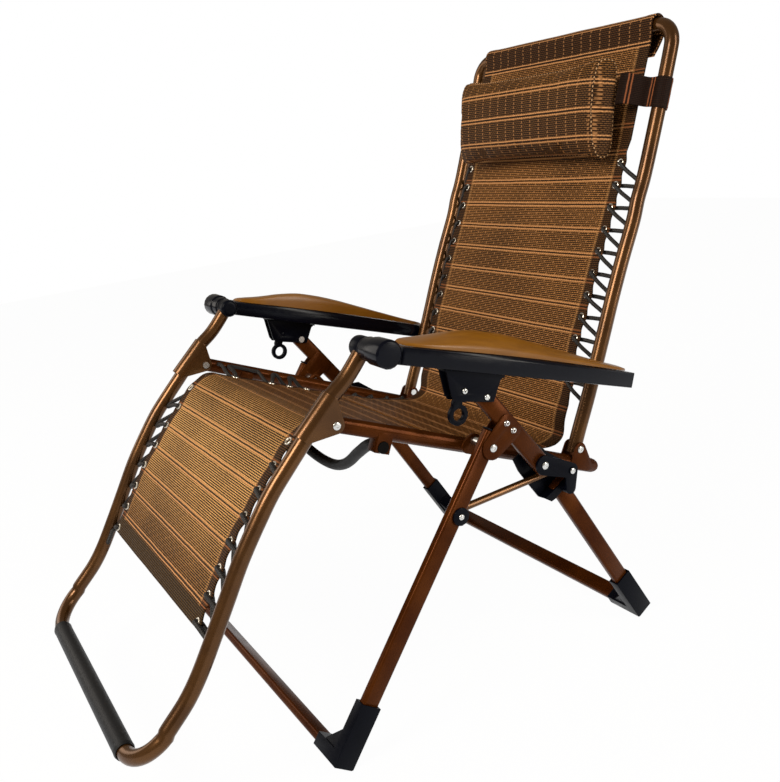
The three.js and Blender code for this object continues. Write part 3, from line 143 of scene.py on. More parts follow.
def ring_faces(rings, sides, closed=False, capped=True):
    """Faces between rings of points, with a cap on each open end."""
    faces = [
        (i * sides + k, i * sides + m, j * sides + m, j * sides + k)
        for i, j in [(i, (i + 1) % rings) for i in range(rings if closed else rings - 1)]
        for k, m in [(k, (k + 1) % sides) for k in range(sides)]
    ]
    if capped and not closed:
        faces.append(tuple(reversed(range(sides))))
        faces.append(tuple((rings - 1) * sides + k for k in range(sides)))
    return faces


def shell_faces(rows, columns):
    """Faces round two grids of points, the second one behind the first."""
    off = rows * columns
    faces = []
    for i in range(rows - 1):
        a, b = i * columns, (i + 1) * columns
        for k in range(columns - 1):
            face = (a + k, a + k + 1, b + k + 1, b + k)
            faces += [face, tuple(off + v for v in reversed(face))]
        faces.append((a, b, off + b, off + a))
        a, b = a + columns - 1, b + columns - 1
        faces.append((b, a, off + a, off + b))
    for k in range(columns - 1):
        e = off - columns + k
        faces += [(k + 1, k, off + k, off + k + 1), (e, e + 1, off + e + 1, off + e)]
    return faces


def flipped(faces, when=True):
    return [face[::-1] for face in faces] if when else faces


def sweep(points, radius, sides=24, closed=False):
    """Vertices, faces and uv of a round tube along 3-D points."""
    n = len(points)
    verts, uv = [], []
    normal, run = None, 0.0
    for i, p in enumerate(points):
        a = points[(i - 1) % n] if closed or i > 0 else points[0]
        b = points[(i + 1) % n] if closed or i < n - 1 else points[-1]
        t = (b - a).normalized()
        if normal is None:
            normal = Vector((1, 0, 0)) if abs(t.x) < 0.9 else Vector((0, 0, 1))
        normal = (normal - t * normal.dot(t)).normalized()
        other = t.cross(normal)
        if i:
            run += (p - points[i - 1]).length
        r = radius(i / (n - 1)) if callable(radius) else radius
        for k in range(sides):
            angle = TURN * k / sides
            verts.append(p + normal * (r * math.cos(angle)) + other * (r * math.sin(angle)))
            uv.append((k / sides, run))
    return verts, ring_faces(n, sides, closed), uv


def lathe(steps, centre, side, count=36, closed=False):
    """A form turned about an axis along X, from (distance, radius) steps."""
    verts, uv = [], []
    for x, r in steps:
        for k in range(count):
            a = TURN * k / count
            verts.append(spot(side * x, centre + Vector((r * math.cos(a), r * math.sin(a)))))
            uv.append((k / count, x))
    return verts, flipped(ring_faces(len(steps), count, closed), side > 0), uv


def rounded_bar(a, b, wide, width=0.030, thick=0.015, corner=0.0045, steps=4):
    """A rectangular tube with rounded corners between two points."""
    way = (b - a).normalized()
    wide = (wide - way * wide.dot(way)).normalized()
    other = way.cross(wide)
    section = []
    for sx, sy, start in ((1, 1, 0), (-1, 1, 90), (-1, -1, 180), (1, -1, 270)):
        for k in range(steps + 1):
            t = math.radians(start + 90 * k / steps)
            section.append((
                sx * (width / 2 - corner) + corner * math.cos(t),
                sy * (thick / 2 - corner) + corner * math.sin(t),
            ))
    edge, length = 0.0012, (b - a).length
    verts, uv = [], []
    for run, share in ((0, 0.9), (edge, 1), (length - edge, 1), (length, 0.9)):
        for k, (p, q) in enumerate(section):
            verts.append(a + way * run + wide * (p * share) + other * (q * share))
            uv.append((k / len(section), run))
    return verts, ring_faces(4, len(section)), uv


def joined(parts):
    """Several (verts, faces, uv) sets as one."""
    verts, faces, uv = [], [], []
    for v, f, u in parts:
        base = len(verts)
        verts += v
        uv += u
        faces += [tuple(i + base for i in face) for face in f]
    return verts, faces, uv


# Objects
def new_object(name, verts, faces, material, uv=None):
    mesh = bpy.data.meshes.new(name)
    mesh.from_pydata([tuple(v) for v in verts], [], faces)
    if uv:
        layer = mesh.uv_layers.new(name="weave")
        for loop in mesh.loops:
            layer.data[loop.index].uv = uv[loop.vertex_index]
    mesh.validate()
    mesh.update()
    mesh.shade_smooth()
    mesh.materials.append(material)
    obj = bpy.data.objects.new(name, mesh)
    scene.collection.objects.link(obj)
    return obj


def add_mod(obj, kind, name, **values):
    mod = obj.modifiers.new(name, kind)
    for key, value in values.items():
        setattr(mod, key, value)
    return mod


def smooth_group(limit):
    """Geometry nodes that shade smooth, with edges over a limit kept sharp."""
    group = bpy.data.node_groups.new("soft_shading", "GeometryNodeTree")
    for way in ("INPUT", "OUTPUT"):
        group.interface.new_socket("Geometry", in_out=way, socket_type="NodeSocketGeometry")
    start, end, angle, compare = (
        group.nodes.new(kind) for kind in
        ("NodeGroupInput", "NodeGroupOutput", "GeometryNodeInputMeshEdgeAngle", "FunctionNodeCompare")
    )
    faces, edges = (group.nodes.new("GeometryNodeSetShadeSmooth") for _ in range(2))
    for made, domain, smooth in ((faces, "FACE", True), (edges, "EDGE", False)):
        made.domain = domain
        made.inputs["Shade Smooth"].default_value = smooth
    compare.data_type, compare.operation = "FLOAT", "GREATER_THAN"
    compare.inputs[1].default_value = limit
    for output, socket in (
        (angle.outputs["Unsigned Angle"], compare.inputs[0]),
        (compare.outputs[0], edges.inputs["Selection"]),
        (start.outputs[0], faces.inputs["Geometry"]),
        (faces.outputs[0], edges.inputs["Geometry"]),
        (edges.outputs[0], end.inputs[0]),
    ):
        group.links.new(output, socket)
    return group


SMOOTH = smooth_group(math.radians(34))


def claim(obj, body, slot, *replaced):
    """Puts a piece on its body and in place of its CAD nodes; slot is not used."""
    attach(obj, body)
    if replaced:
        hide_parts(*replaced)
    return obj


def new_piece(name, parts, material, body, slot, *replaced):
    verts, faces, uv = joined(parts)
    obj = new_object(name, verts, faces, material, uv)
    add_mod(obj, "NODES", "shading", node_group=SMOOTH)
    return claim(obj, body, slot, *replaced)


def bevel(obj, width, segments, limit, **values):
    add_mod(
        obj, "BEVEL", "edges", width=width, segments=segments, limit_method="ANGLE",
        angle_limit=math.radians(limit), **values,
    )
    add_mod(obj, "NODES", "shading", node_group=SMOOTH)


def finish_cad(name, material, width, segments=2, limit=36):
    """A CAD node with its material, rounded edges and smooth shading."""
    obj = nodes[name]
    obj.data.materials.clear()
    obj.data.materials.append(material)
    add_mod(obj, "WELD", "weld", merge_threshold=0.00002)
    add_mod(obj, "DECIMATE", "planar", decimate_type="DISSOLVE", angle_limit=math.radians(1.5))
    bevel(obj, width, segments, limit, use_clamp_overlap=True)


# Materials
def operation(name, swapped=False):
    def call(self, other=0.0):
        return self.shader.math(name, *((other, self) if swapped else (self, other)))
    return call


class Value:
    """A shader's output, which takes plain arithmetic."""

    def __init__(self, shader, socket):
        self.shader, self.socket = shader, socket

    __add__ = __radd__ = operation("ADD")
    __sub__, __rsub__ = operation("SUBTRACT"), operation("SUBTRACT", True)
    __mul__ = __rmul__ = operation("MULTIPLY")
    __truediv__ = operation("DIVIDE")
    __gt__, __lt__ = operation("GREATER_THAN"), operation("LESS_THAN")
    __abs__ = operation("ABSOLUTE")
    fract, floor = operation("FRACT"), operation("FLOOR")
    sine, cosine = operation("SINE"), operation("COSINE")


class Shader:
    """A material's nodes, built by short calls."""

    def __init__(self, name):
        self.mat = bpy.data.materials.new(name)
        self.mat.use_nodes = True
        self.tree = self.mat.node_tree
        self.bsdf = self.tree.nodes["Principled BSDF"]

    def link(self, value, socket):
        if isinstance(value, Value):
            self.tree.links.new(value.socket, socket)
        elif socket.type == "RGBA" and len(value) == 3:
            socket.default_value = (*value, 1)
        else:
            socket.default_value = value

    def node(self, kind, inputs=(), **attributes):
        made = self.tree.nodes.new(kind)
        for key, value in attributes.items():
            setattr(made, key, value)
        for key, value in dict(inputs).items():
            self.link(value, made.inputs[key])
        return made

    def value(self, kind, inputs=(), output=0, **attributes):
        return Value(self, self.node(kind, inputs, **attributes).outputs[output])

    def math(self, name, *values):
        return self.value("ShaderNodeMath", enumerate(values), operation=name)

    def mix(self, factor, a, b, blend="MIX"):
        inputs = {0: factor, 6: a, 7: b}
        return self.value("ShaderNodeMix", inputs, 2, data_type="RGBA", blend_type=blend)

    def noise(self, scale, detail=2.0, stretch=None, roughness=0.5):
        place = self.value("ShaderNodeTexCoord", output="Object")
        if stretch:
            place = self.value("ShaderNodeMapping", {"Vector": place, "Scale": stretch})
        inputs = {"Vector": place, "Scale": scale, "Detail": detail, "Roughness": roughness}
        return self.value("ShaderNodeTexNoise", inputs, "Fac")

    def weave_uv(self):
        """The distances across and along the cloth."""
        uv = self.value("ShaderNodeUVMap", uv_map="weave")
        parts = self.node("ShaderNodeSeparateXYZ", {0: uv})
        return Value(self, parts.outputs[0]), Value(self, parts.outputs[1])

    def ramp(self, value, low, high):
        """A value from low to high, spread over 0 to 1."""
        return self.value("ShaderNodeMapRange", {"Value": value, "From Min": low, "From Max": high})

    def between(self, value, low, high):
        """A value from 0 to 1, spread over low to high."""
        return self.value("ShaderNodeMapRange", {"Value": value, "To Min": low, "To Max": high})

    def bump(self, height, strength, distance):
        inputs = {"Strength": strength, "Distance": distance, "Height": height}
        self.set(Normal=self.value("ShaderNodeBump", inputs))

    def set(self, **values):
        for key, value in values.items():
            self.link(value, self.bsdf.inputs[key.replace("_", " ")])


def metal_paint(name, dark, light, metallic, rough, coat, grain, shine=0.5):
    s = Shader(name)
    tone = s.noise(14, 3) * 0.7 + s.noise(2600, 1) * 0.3
    s.set(
        Base_Color=s.mix(s.ramp(tone, 0.35, 0.65), dark, light), Metallic=metallic,
        Roughness=s.between(s.noise(60, 4), rough - 0.06, rough + 0.08),
        Coat_Weight=coat, Coat_Roughness=0.07, Specular_IOR_Level=shine,
    )
    s.bump(s.noise(420), grain, 0.0003)
    return s.mat


def plastic(name, low, high, rough, shine):
    s = Shader(name)
    s.set(
        Base_Color=s.mix(s.noise(35, 3), low, high), Specular_IOR_Level=shine,
        Roughness=s.between(s.noise(90, 3), rough - 0.08, rough + 0.1),
    )
    s.bump(s.noise(1500, 1) + s.noise(250) * 0.5, 0.1, 0.0003)
    return s.mat


bronze = metal_paint(
    "bronze_paint", (0.064, 0.0250, 0.0055), (0.120, 0.0510, 0.0125), 0.7, 0.25, 0.08, 0.008,
)
brown = metal_paint(
    "brown_paint", (0.042, 0.0095, 0.0012), (0.084, 0.0225, 0.0030), 0.35, 0.27, 0.0, 0.01, 0.06,
)
dark_tube = metal_paint(
    "dark_paint", (0.0030, 0.0025, 0.0022), (0.0075, 0.006, 0.005), 0.0, 0.42, 0.0, 0.02, 0.04,
)
black = plastic("black_plastic", (0.0010, 0.0013, 0.0034), (0.0022, 0.0030, 0.0070), 0.3, 0.07)
board = plastic("armrest_plastic", (0.0010, 0.0014, 0.0040), (0.0020, 0.0027, 0.0070), 0.19, 0.13)

shader = Shader("bright_steel")
streak = shader.noise(500, 2, (1, 6, 6))
shader.set(
    Base_Color=shader.mix(streak, (0.55, 0.55, 0.53), (0.8, 0.8, 0.78)), Metallic=1.0,
    Roughness=shader.between(streak, 0.18, 0.36),
)
shader.bump(streak, 0.05, 0.0002)
steel = shader.mat

shader = Shader("eyelet_metal")
shader.set(
    Base_Color=shader.mix(shader.noise(300), (0.62, 0.55, 0.44), (0.92, 0.88, 0.80)), Metallic=0.9,
    Roughness=shader.between(shader.noise(700), 0.2, 0.4),
)
eyelet_metal = shader.mat

shader = Shader("caramel_moulding")
streak = shader.ramp(shader.noise(9, 4, (9, 1, 3), 0.6), 0.3, 0.7)
shader.set(
    Base_Color=shader.mix(streak, (0.175, 0.066, 0.0040), (0.255, 0.103, 0.0075)),
    Roughness=shader.between(shader.noise(120, 3), 0.24, 0.38),
    Coat_Weight=0.08, Coat_Roughness=0.15, Specular_IOR_Level=0.25,
)
shader.bump(shader.noise(300, 2, (4, 1, 1)), 0.06, 0.0004)
caramel = shader.mat

shader = Shader("foam_rubber")
cells = shader.noise(1300, 3)
shader.set(
    Base_Color=shader.mix(cells, (0.002, 0.0022, 0.003), (0.010, 0.0105, 0.013)),
    Roughness=0.48, Specular_IOR_Level=0.25,
)
shader.bump(cells, 0.35, 0.0006)
foam = shader.mat

shader = Shader("braided_cord")
around, along = shader.weave_uv()
around, along = around * (TURN * 4), along * (TURN / 0.004)
braid = ((around + along).sine() + (around - along).sine()) * 0.5
shader.set(
    Base_Color=shader.mix(shader.ramp(braid, -0.8, 0.9), (0.0025, 0.002, 0.002), (0.012, 0.008, 0.006)),
    Roughness=0.6,
)
shader.bump(braid, 0.4, 0.0006)
cord_cover = shader.mat

SLAT = 0.0036
STRIPE_PITCH = 0.0467
TAN = (0.275, 0.124, 0.036)
SEAT_TAN = (0.175, 0.068, 0.013)
PILLOW_TAN = (0.118, 0.055, 0.018)


def make_weave(
    name, tan, painted_light_tones, hem_from=None, pitch=STRIPE_PITCH, shift=0.0,
    plain_from=None, sleeve_from=None, dash_share=0.42, stagger=0.5,
):
    """Slats across the sling, tied by rows of thread, with pairs of pale slats."""
    dark, pale = (0.0095, 0.0034, 0.0011), (0.60, 0.285, 0.112)
    s = Shader(name)
    u, run = s.weave_uv()
    v = run + (s.noise(30) - 0.5) * 0.0012
    before_sleeve = 1.0 if sleeve_from is None else run < sleeve_from
    row = v / SLAT
    slat = s.ramp((row * TURN).cosine(), -0.45, 0.75)
    weft = u / 0.0062 + (row + 0.5).floor() * 0.5
    tie = s.ramp(abs(weft.fract() - 0.5), 0.05, 0.19)
    # distance from the middle of the nearest pair of pale slats
    off = abs(((v - shift) / pitch).fract() - 0.5) * pitch
    pair = 1.0 - s.ramp(abs(off - SLAT * 0.86), 0.0007, 0.0014)
    core = 1.0 - s.ramp(off, 0.0009, 0.0017)
    # columns of dashes between the pairs
    double = v / (SLAT * 2)
    band = double.floor() * stagger * before_sleeve
    column = abs((u / 0.0245 + band).fract() - 0.5)
    dashes = (1.0 - s.ramp(column, 0.035, 0.07)) * (double.fract() > 0.45)
    fibre = s.noise(700, 2, (0.12, 1, 1))
    tone = s.noise(7, 3) * 0.75 + fibre * 0.5
    # painted light: the yarn's tan steps lighter and darker along the cloth, for where light falls on it
    for start, end, after in painted_light_tones:
        tan = s.mix(s.ramp(run, start, end), tan, after)
    shade = s.mix(1.0, tan, (0.62, 0.6, 0.58), "MULTIPLY")
    light = s.mix(s.ramp(tone, 0.3, 0.85), shade, s.mix(1.0, tan, (1.62, 1.56, 1.5), "MULTIPLY"))
    cover = slat * (tie * 0.78 + 0.22)
    colour = s.mix(cover, dark, light)
    if sleeve_from is not None:
        sleeve = s.ramp(run, sleeve_from - 0.001, sleeve_from + 0.001)
        colour = s.mix(sleeve, colour, s.mix(cover, dark, (0.085, 0.034, 0.010)))
    colour = s.mix(dashes * dash_share, colour, pale)
    colour = s.mix(core * 0.75, colour, dark)
    colour = s.mix(pair * (tie * 0.45 + 0.5), colour, pale)
    if hem_from is not None:
        hem = s.ramp(abs(u), hem_from - 0.0006, hem_from + 0.0006) * before_sleeve
        folded = s.mix(cover, (0.009, 0.0032, 0.0011), (0.088, 0.038, 0.0115))
        colour = s.mix(hem, colour, s.mix(pair * 0.5, folded, (0.40, 0.135, 0.045)))
        # a ladder of pale stitches over the fold's inner edge
        stitch = 1.0 - s.ramp(abs(abs(u) - (hem_from - 0.001)), 0.0034, 0.0042)
        stitch = stitch * (row.fract() > 0.5) * before_sleeve
        colour = s.mix(stitch * 0.45, colour, (0.50, 0.25, 0.09))
    if plain_from is not None:
        cuff = s.mix(cover, (0.014, 0.0065, 0.002), (0.088, 0.046, 0.013))
        colour = s.mix(s.ramp(run, plain_from - 0.0005, plain_from + 0.0005), colour, cuff)
    s.set(Base_Color=colour, Roughness=s.between(fibre, 0.5, 0.7), Specular_IOR_Level=0.1)
    s.bump(slat * 0.7 + tie * 0.35 + fibre * 0.15, 0.6, 0.0009)
    return s.mat


# Painted light in the tone steps: the pillow lighter towards its top, the sling lighter from the seat up the
# back, the leg rest brightest in its middle and darker at its foot
pillow_cloth = make_weave("pillow_weave", PILLOW_TAN, [(0.05, 0.12, (0.24, 0.105, 0.022))], stagger=0.0)
upper_cloth = make_weave(
    "sling_weave", SEAT_TAN, [(0.12, 0.26, TAN)], FABRIC_HALF - HEM, shift=0.03365, sleeve_from=0.940,
)
lower_cloth = make_weave(
    "leg_weave", SEAT_TAN,
    [
        (0.2, 0.38, (0.58, 0.325, 0.110)), (0.38, 0.46, (0.54, 0.295, 0.098)),
        (0.46, 0.60, (0.19, 0.082, 0.018)),
    ],
    FABRIC_HALF - HEM, 0.0465, 0.00595, plain_from=0.594, dash_share=0.2,
)

shader = Shader("strap_webbing")
u, v = shader.weave_uv()
rib = (u * (TURN / 0.0030)).sine() + (v * (TURN / 0.0026)).sine() * 0.6
rib = shader.ramp(rib, -1.0, 1.3)
pale = 1.0 - shader.ramp(abs(abs((v / 0.041).fract() - 0.5) - 0.075), 0.018, 0.04)
colour = shader.mix(rib, (0.003, 0.0011, 0.0005), (0.020, 0.0070, 0.0028))
shader.set(
    Base_Color=shader.mix(pale * 0.6, colour, (0.38, 0.12, 0.045)),
    Roughness=0.65, Specular_IOR_Level=0.1,
)
shader.bump(rib, 0.45, 0.0006)
webbing = shader.mat

shader = Shader("seam_thread")
along = shader.weave_uv()[1]
dots = (along / 0.0075).fract() > 0.55
fibre = shader.noise(900)
colour = shader.mix(fibre, (0.012, 0.005, 0.002), (0.06, 0.026, 0.010))
shader.set(
    Base_Color=shader.mix(dots, colour, (0.46, 0.27, 0.13)), Roughness=0.7, Specular_IOR_Level=0.2,
)
shader.bump((along * (TURN / 0.0012)).sine() * 0.4 + fibre, 0.3, 0.0004)
thread = shader.mat


# Camera, lights and stage
# its turns in degrees, its place, and its focal length and the picture's long side in pixels
CAMERA_TURNS, CAMERA_PLACE = (29.382, 16.357, 7.011), (1.3882, -0.7623 + Y0, 0.9260)
FOCAL, LONG_SIDE = 880, 782
camera_data = bpy.data.cameras.new("camera")
camera = bpy.data.objects.new("camera", camera_data)
scene.collection.objects.link(camera)
scene.camera = camera
yaw, pitch, roll = (math.radians(a) for a in CAMERA_TURNS)
ahead = Vector((-math.cos(yaw) * math.cos(pitch), math.sin(yaw) * math.cos(pitch), -math.sin(pitch)))
right = ahead.cross(Vector((0, 0, 1))).normalized()
down = ahead.cross(right)
right, down = (
    math.cos(roll) * right + math.sin(roll) * down,
    -math.sin(roll) * right + math.cos(roll) * down,
)
matrix = Matrix((right, -down, -ahead)).transposed().to_4x4()
matrix.translation = Vector(CAMERA_PLACE)
camera.matrix_world = matrix
camera_data.sensor_width = 36
camera_data.lens = FOCAL * camera_data.sensor_width / LONG_SIDE
camera_data.clip_start = 0.02

world = bpy.data.worlds.new("studio")
scene.world = world
world.use_nodes = True
wt = world.node_tree
shown, path, either, chooser = (
    wt.nodes.new(f"ShaderNode{kind}") for kind in ("Background", "LightPath", "Math", "MixShader")
)
background = wt.nodes["Background"]
background.inputs["Color"].default_value = (1, 0.91, 0.78, 1)
background.inputs["Strength"].default_value = 0.3
shown.inputs["Color"].default_value = (1, 1, 1, 1)
either.operation = "MAXIMUM"
for output, socket in (
    (path.outputs["Is Camera Ray"], either.inputs[0]),
    (path.outputs["Is Transmission Ray"], either.inputs[1]),
    (either.outputs[0], chooser.inputs[0]),
    (background.outputs[0], chooser.inputs[1]),
    (shown.outputs[0], chooser.inputs[2]),
    (chooser.outputs[0], wt.nodes["World Output"].inputs["Surface"]),
):
    wt.links.new(output, socket)

# name, place, target, width, height, power and colour
LIGHTS = (
    ("key_light", (0.7, -2.3, 2.3), (0, 0, 0.5), 1.1, 1.1, 79, (1, 0.93, 0.82)),
    ("side_light", (2.5, 1.5, 1.5), (0, 0.1, 0.6), 0.5, 2.4, 46, (1, 0.95, 0.86)),
    ("fill_light", (-2.2, -1.6, 1.6), (0, 0, 0.5), 1.2, 1.8, 16, (1, 0.94, 0.86)),
)
for name, place, target, width, height, power, colour in LIGHTS:
    data = bpy.data.lights.new(name, "AREA")
    data.shape = "RECTANGLE"
    data.size, data.size_y = width, height
    data.energy, data.color = power, colour
    light = bpy.data.objects.new(name, data)
    scene.collection.objects.link(light)
    light.location = place
    light.rotation_euler = (Vector(target) - Vector(place)).to_track_quat("-Z", "Y").to_euler()

shader = Shader("floor_paper")
paper = shader.mix(shader.noise(3), (0.86, 0.86, 0.86), (0.9, 0.9, 0.9))
shader.set(Base_Color=paper, Roughness=0.8)
rays = shader.node("ShaderNodeLightPath").outputs
seen = shader.math("MAXIMUM", *(Value(shader, rays[f"Is {kind} Ray"]) for kind in ("Camera", "Glossy")))
glow = shader.value("ShaderNodeEmission", {"Color": (1, 1, 1), "Strength": 1.0})
lit = Value(shader, shader.bsdf.outputs[0])
mixed = shader.value("ShaderNodeMixShader", {0: seen * 0.975, 1: lit, 2: glow})
shader.link(mixed, shader.tree.nodes["Material Output"].inputs["Surface"])
corners = [(-6, -6, 0), (6, -6, 0), (6, 6, 0), (-6, 6, 0)]
floor = new_object("floor", corners, [(0, 1, 2, 3)], shader.mat)
floor.location.z = -0.0006
scene.view_settings.view_transform = "Standard"


# Frame tubes
def from_shares(start, shares, reach, rise):
    return [start + Vector((a * reach, b * rise)) for a, b in shares]


def bent_frame(places, profile, plane, bend, steps=12):
    """The tube's middle line: up one side, round the end bar and down the other side."""
    low = profile[-1]
    way = (low - spline(places, 16)[-2]).normalized()
    start = low - way * bend
    side = [p for p in profile if (low - p).dot(way) > bend + 0.004] + [start]
    half = [spot(plane, p) for p in side]
    for i in range(1, steps + 1):
        angle = i / steps * math.pi / 2
        half.append(spot(plane - bend * (1 - math.cos(angle)), start + way * (bend * math.sin(angle))))
    half += [spot(x, low) for x in (plane - bend - 0.03, 0.1)]
    return half + [Vector((-p.x, p.y, p.z)) for p in reversed(half)]


def at_height(profile, z):
    for a, b in zip(profile, profile[1:]):
        if (a.y - z) * (b.y - z) <= 0 and abs(b.y - a.y) > 1e-9:
            return a.lerp(b, (z - a.y) / (b.y - a.y))
    return min(profile[0], profile[-1], key=lambda p: abs(p.y - z))


leg_places = from_shares(ARM_FRONT, LEG_SHARES, -LEG_REACH, -LEG_DROP)
back_places = from_shares(BACK_PIN, BACK_SHARES, BACK_REACH, BACK_RISE)
back_low = BACK_PIN + (back_places[0] - back_places[1]).normalized() * 0.009
leg_profile = spline(leg_places, 150)
back_profile = spline([back_low, *back_places], 150)
back_line = bent_frame([back_low, *back_places], back_profile, BACK_PLANE, 0.038)
leg_line = bent_frame(leg_places, leg_profile, LEG_REST_PLANE, 0.062)
for body, line in (("back", back_line), ("leg_rest", leg_line)):
    tube = new_object(f"{body}_tube", *sweep(line, FRAME_R, 32)[:2], bronze)
    add_mod(tube, "NODES", "shading", node_group=SMOOTH)
    claim(tube, body, "bronze", f"{body}_frame")

# studs that the armrests' rear ends turn on
studs = []
for side, word in SIDES:
    line = [spot(side * x, ARM_REAR) for x in (BACK_PLANE, 0.288, 0.2958)]
    studs.append(sweep(line, lambda t: 0.006 if t < 0.99 else 0.0052, 20))
claim(new_object("arm_studs", *joined(studs)[:2], steel), "back", "steel")


# Knee brackets: plates folded round the leg rest tube, down to the rail pin
def upper_edge(points):
    """The upper edge of the outline round some points, from left to right."""
    kept = []
    for p in sorted(points, key=tuple):
        while len(kept) > 1 and (kept[-1] - kept[-2]).cross(p - kept[-2]) >= 0:
            kept.pop()
        kept.append(p)
    return kept


def ring(centre, radius, count=40):
    angles = [TURN * k / count for k in range(count)]
    return [centre + Vector((math.cos(a), math.sin(a))) * radius for a in angles]


bracket_at = leg_places[2].lerp(leg_places[3], 0.45)
bracket_way = (leg_places[3] - leg_places[1]).normalized()
bracket_up = Vector((-bracket_way.y, bracket_way.x))
if (RAIL_FRONT - bracket_at).dot(bracket_up) < 0:
    bracket_up = -bracket_up
BRACKET_HALF, BRACKET_ROWS, BRACKET_STEPS = 0.0388, 60, 8
WRAP = FRAME_R + 0.0020


def bracket(side):
    pin = Vector([(RAIL_FRONT - bracket_at).dot(way) for way in (bracket_way, bracket_up)])
    ends = [p for x in (-0.031, 0.031) for p in ring(Vector((x, 0)), 0.0078)]
    edge = upper_edge(ends + ring(pin, 0.0125))

    def reach(t):
        for a, b in zip(edge, edge[1:]):
            if a.x <= t <= b.x and b.x - a.x > 1e-9:
                return a.lerp(b, (t - a.x) / (b.x - a.x)).y
        return 0.0

    verts = []
    for i in range(BRACKET_ROWS + 1):
        t = BRACKET_HALF * (2 * i / BRACKET_ROWS - 1)
        far = max(0.001, reach(t))
        leaf = [far * k / BRACKET_STEPS for k in range(1, BRACKET_STEPS + 1)]
        arc = [math.pi * k / 16 for k in range(17)]
        line = [(WRAP, out) for out in reversed(leaf)]
        line += [(WRAP * math.cos(a), -WRAP * math.sin(a)) for a in arc]
        line += [(-WRAP, out) for out in leaf]
        for x, out in line:
            place = bracket_at + bracket_way * t + bracket_up * out
            verts.append(spot(side * (LEG_REST_PLANE + x), place))
    width = len(line)
    faces = [
        (a, a + 1, a + width + 1, a + width)
        for i in range(BRACKET_ROWS) for a in range(i * width, (i + 1) * width - 1)
    ]
    return verts, flipped(faces, side < 0)


for side, word in SIDES:
    obj = new_object(f"knee_bracket_{word}", *bracket(side), bronze)
    add_mod(obj, "SOLIDIFY", "plate", thickness=0.0018, offset=0)
    bevel(obj, 0.0005, 2, 50)
    claim(obj, "leg_rest", "bronze")


# Pins, rivets and screws
def head(x, radius, height=0.0024):
    """Steps of a domed head with a dimple, outwards from x."""
    rise = [(0, 1), (0.25, 1), (0.6, 0.9), (0.85, 0.72), (1, 0.5), (1, 0.36), (0.72, 0.26), (0.7, 0.02)]
    return [(x + h * height, r * radius) for h, r in rise]


def shaft(inner, outer, head_r=0.0065, r=0.004):
    """Steps of a flat inner head and the pin's shaft, up to its outer head."""
    return [(inner, head_r), (inner + 0.0024, head_r), (inner + 0.0024, r), (outer, r)]


BUSH = [
    (0.2863, 0.004), (0.2888, 0.004), (0.2888, 0.0075), (0.3189, 0.0075), (0.3189, 0.004), (0.3395, 0.004),
]
LEVER_PIN = ARM_PIN + Vector((-0.040, 0.020))
RIVETS = (SEAT_PIN + Vector((0.030, 0.033)), SEAT_PIN + Vector((0.042, 0.018)))
# name, place, body, steps up to the head, the head's start and its radius
PINS = (
    ("seat_pin", SEAT_PIN, "base", BUSH, 0.3395, 0.0065),
    ("rear_leg_pin", REAR_LEG_PIN, "rear_legs", shaft(0.3000, 0.3413), 0.3413, 0.0065),
    ("back_pin", BACK_PIN, "seat", shaft(0.2545, 0.2881), 0.2881, 0.0065),
    ("leg_rest_pin", RAIL_FRONT, "seat", shaft(0.2603, 0.2933), 0.2933, 0.0065),
    ("arm_pin", ARM_PIN, "arm_shoe", shaft(0.3157, 0.3403), 0.3403, 0.005),
)
# name, places, body, the head's start, its radius and its height
HEADS = (
    ("gusset_rivets", RIVETS, "base", 0.3390, 0.0056, 0.0030),
    ("disc_rivet", (STRUT_FRONT,), "front_legs", 0.3401, 0.0050, 0.0024),
    ("fork_screw", (STRUT_REAR,), "rear_legs", 0.3432, 0.0052, 0.0016),
    ("lever_screw", (LEVER_PIN,), "lever", 0.3401, 0.0048, 0.0029),
)
for side, word in SIDES:
    own = {body: f"{body}_{word[0]}" for body in ("arm_shoe", "lever")}
    for name, centre, body, steps, at, radius in PINS:
        form = lathe(steps + head(at, radius), centre, side)
        new_piece(f"{name}_head_{word}", [form], steel, own.get(body, body), "steel", f"{name}_{word}")
    for name, centres, body, at, radius, height in HEADS:
        forms = [lathe(head(at, radius, height), centre, side, 28) for centre in centres]
        new_piece(f"{name}_{word}", forms, steel, own.get(body, body), "steel")


# Legs and hangers
def leg_way(foot, pin, offset):
    reach = pin - foot
    angle = math.atan2(reach.y, reach.x) + math.asin(offset / reach.length)
    return Vector((math.cos(angle), math.sin(angle)))


def leg_frame(foot, way, top, plane):
    length = (top - foot).dot(way)
    across = Vector((0, -way.y, way.x))
    ends = (foot - way * 0.0075, foot + way * length)
    parts = [rounded_bar(*(spot(side * plane, p) for p in ends), across) for side in (1, -1)]
    return [*parts, rounded_bar(spot(-plane, foot), spot(plane, foot), across)]


FRONT_FOOT = Vector((-0.326 + Y0, 0.0178))
REAR_FOOT = Vector((0.322 + Y0, 0.0166))
front_way = leg_way(FRONT_FOOT, SEAT_PIN, 0.009)
rear_way = leg_way(REAR_FOOT, REAR_LEG_PIN, -0.0115)
for word, foot, way, top, plane in (
    ("front", FRONT_FOOT, front_way, SEAT_PIN + front_way * 0.022, HANGER_PLANE),
    ("rear", REAR_FOOT, rear_way, REAR_LEG_PIN - rear_way * 0.065, 0.3135),
):
    parts = leg_frame(foot, way, top, plane)
    new_piece(f"{word}_legs_tube", parts, brown, f"{word}_legs", "brown", f"{word}_leg_frame")
way = (REAR_LEG_PIN - ARM_PIN).normalized()
for side, word in SIDES:
    ends = (spot(side * HANGER_PLANE, p) for p in (ARM_PIN - way * 0.012, REAR_LEG_PIN + way * 0.014))
    part = rounded_bar(*ends, Vector((0, -way.y, way.x)), 0.031)
    new_piece(f"hanger_tube_{word}", [part], brown, "base", "brown", f"hanger_{word}")


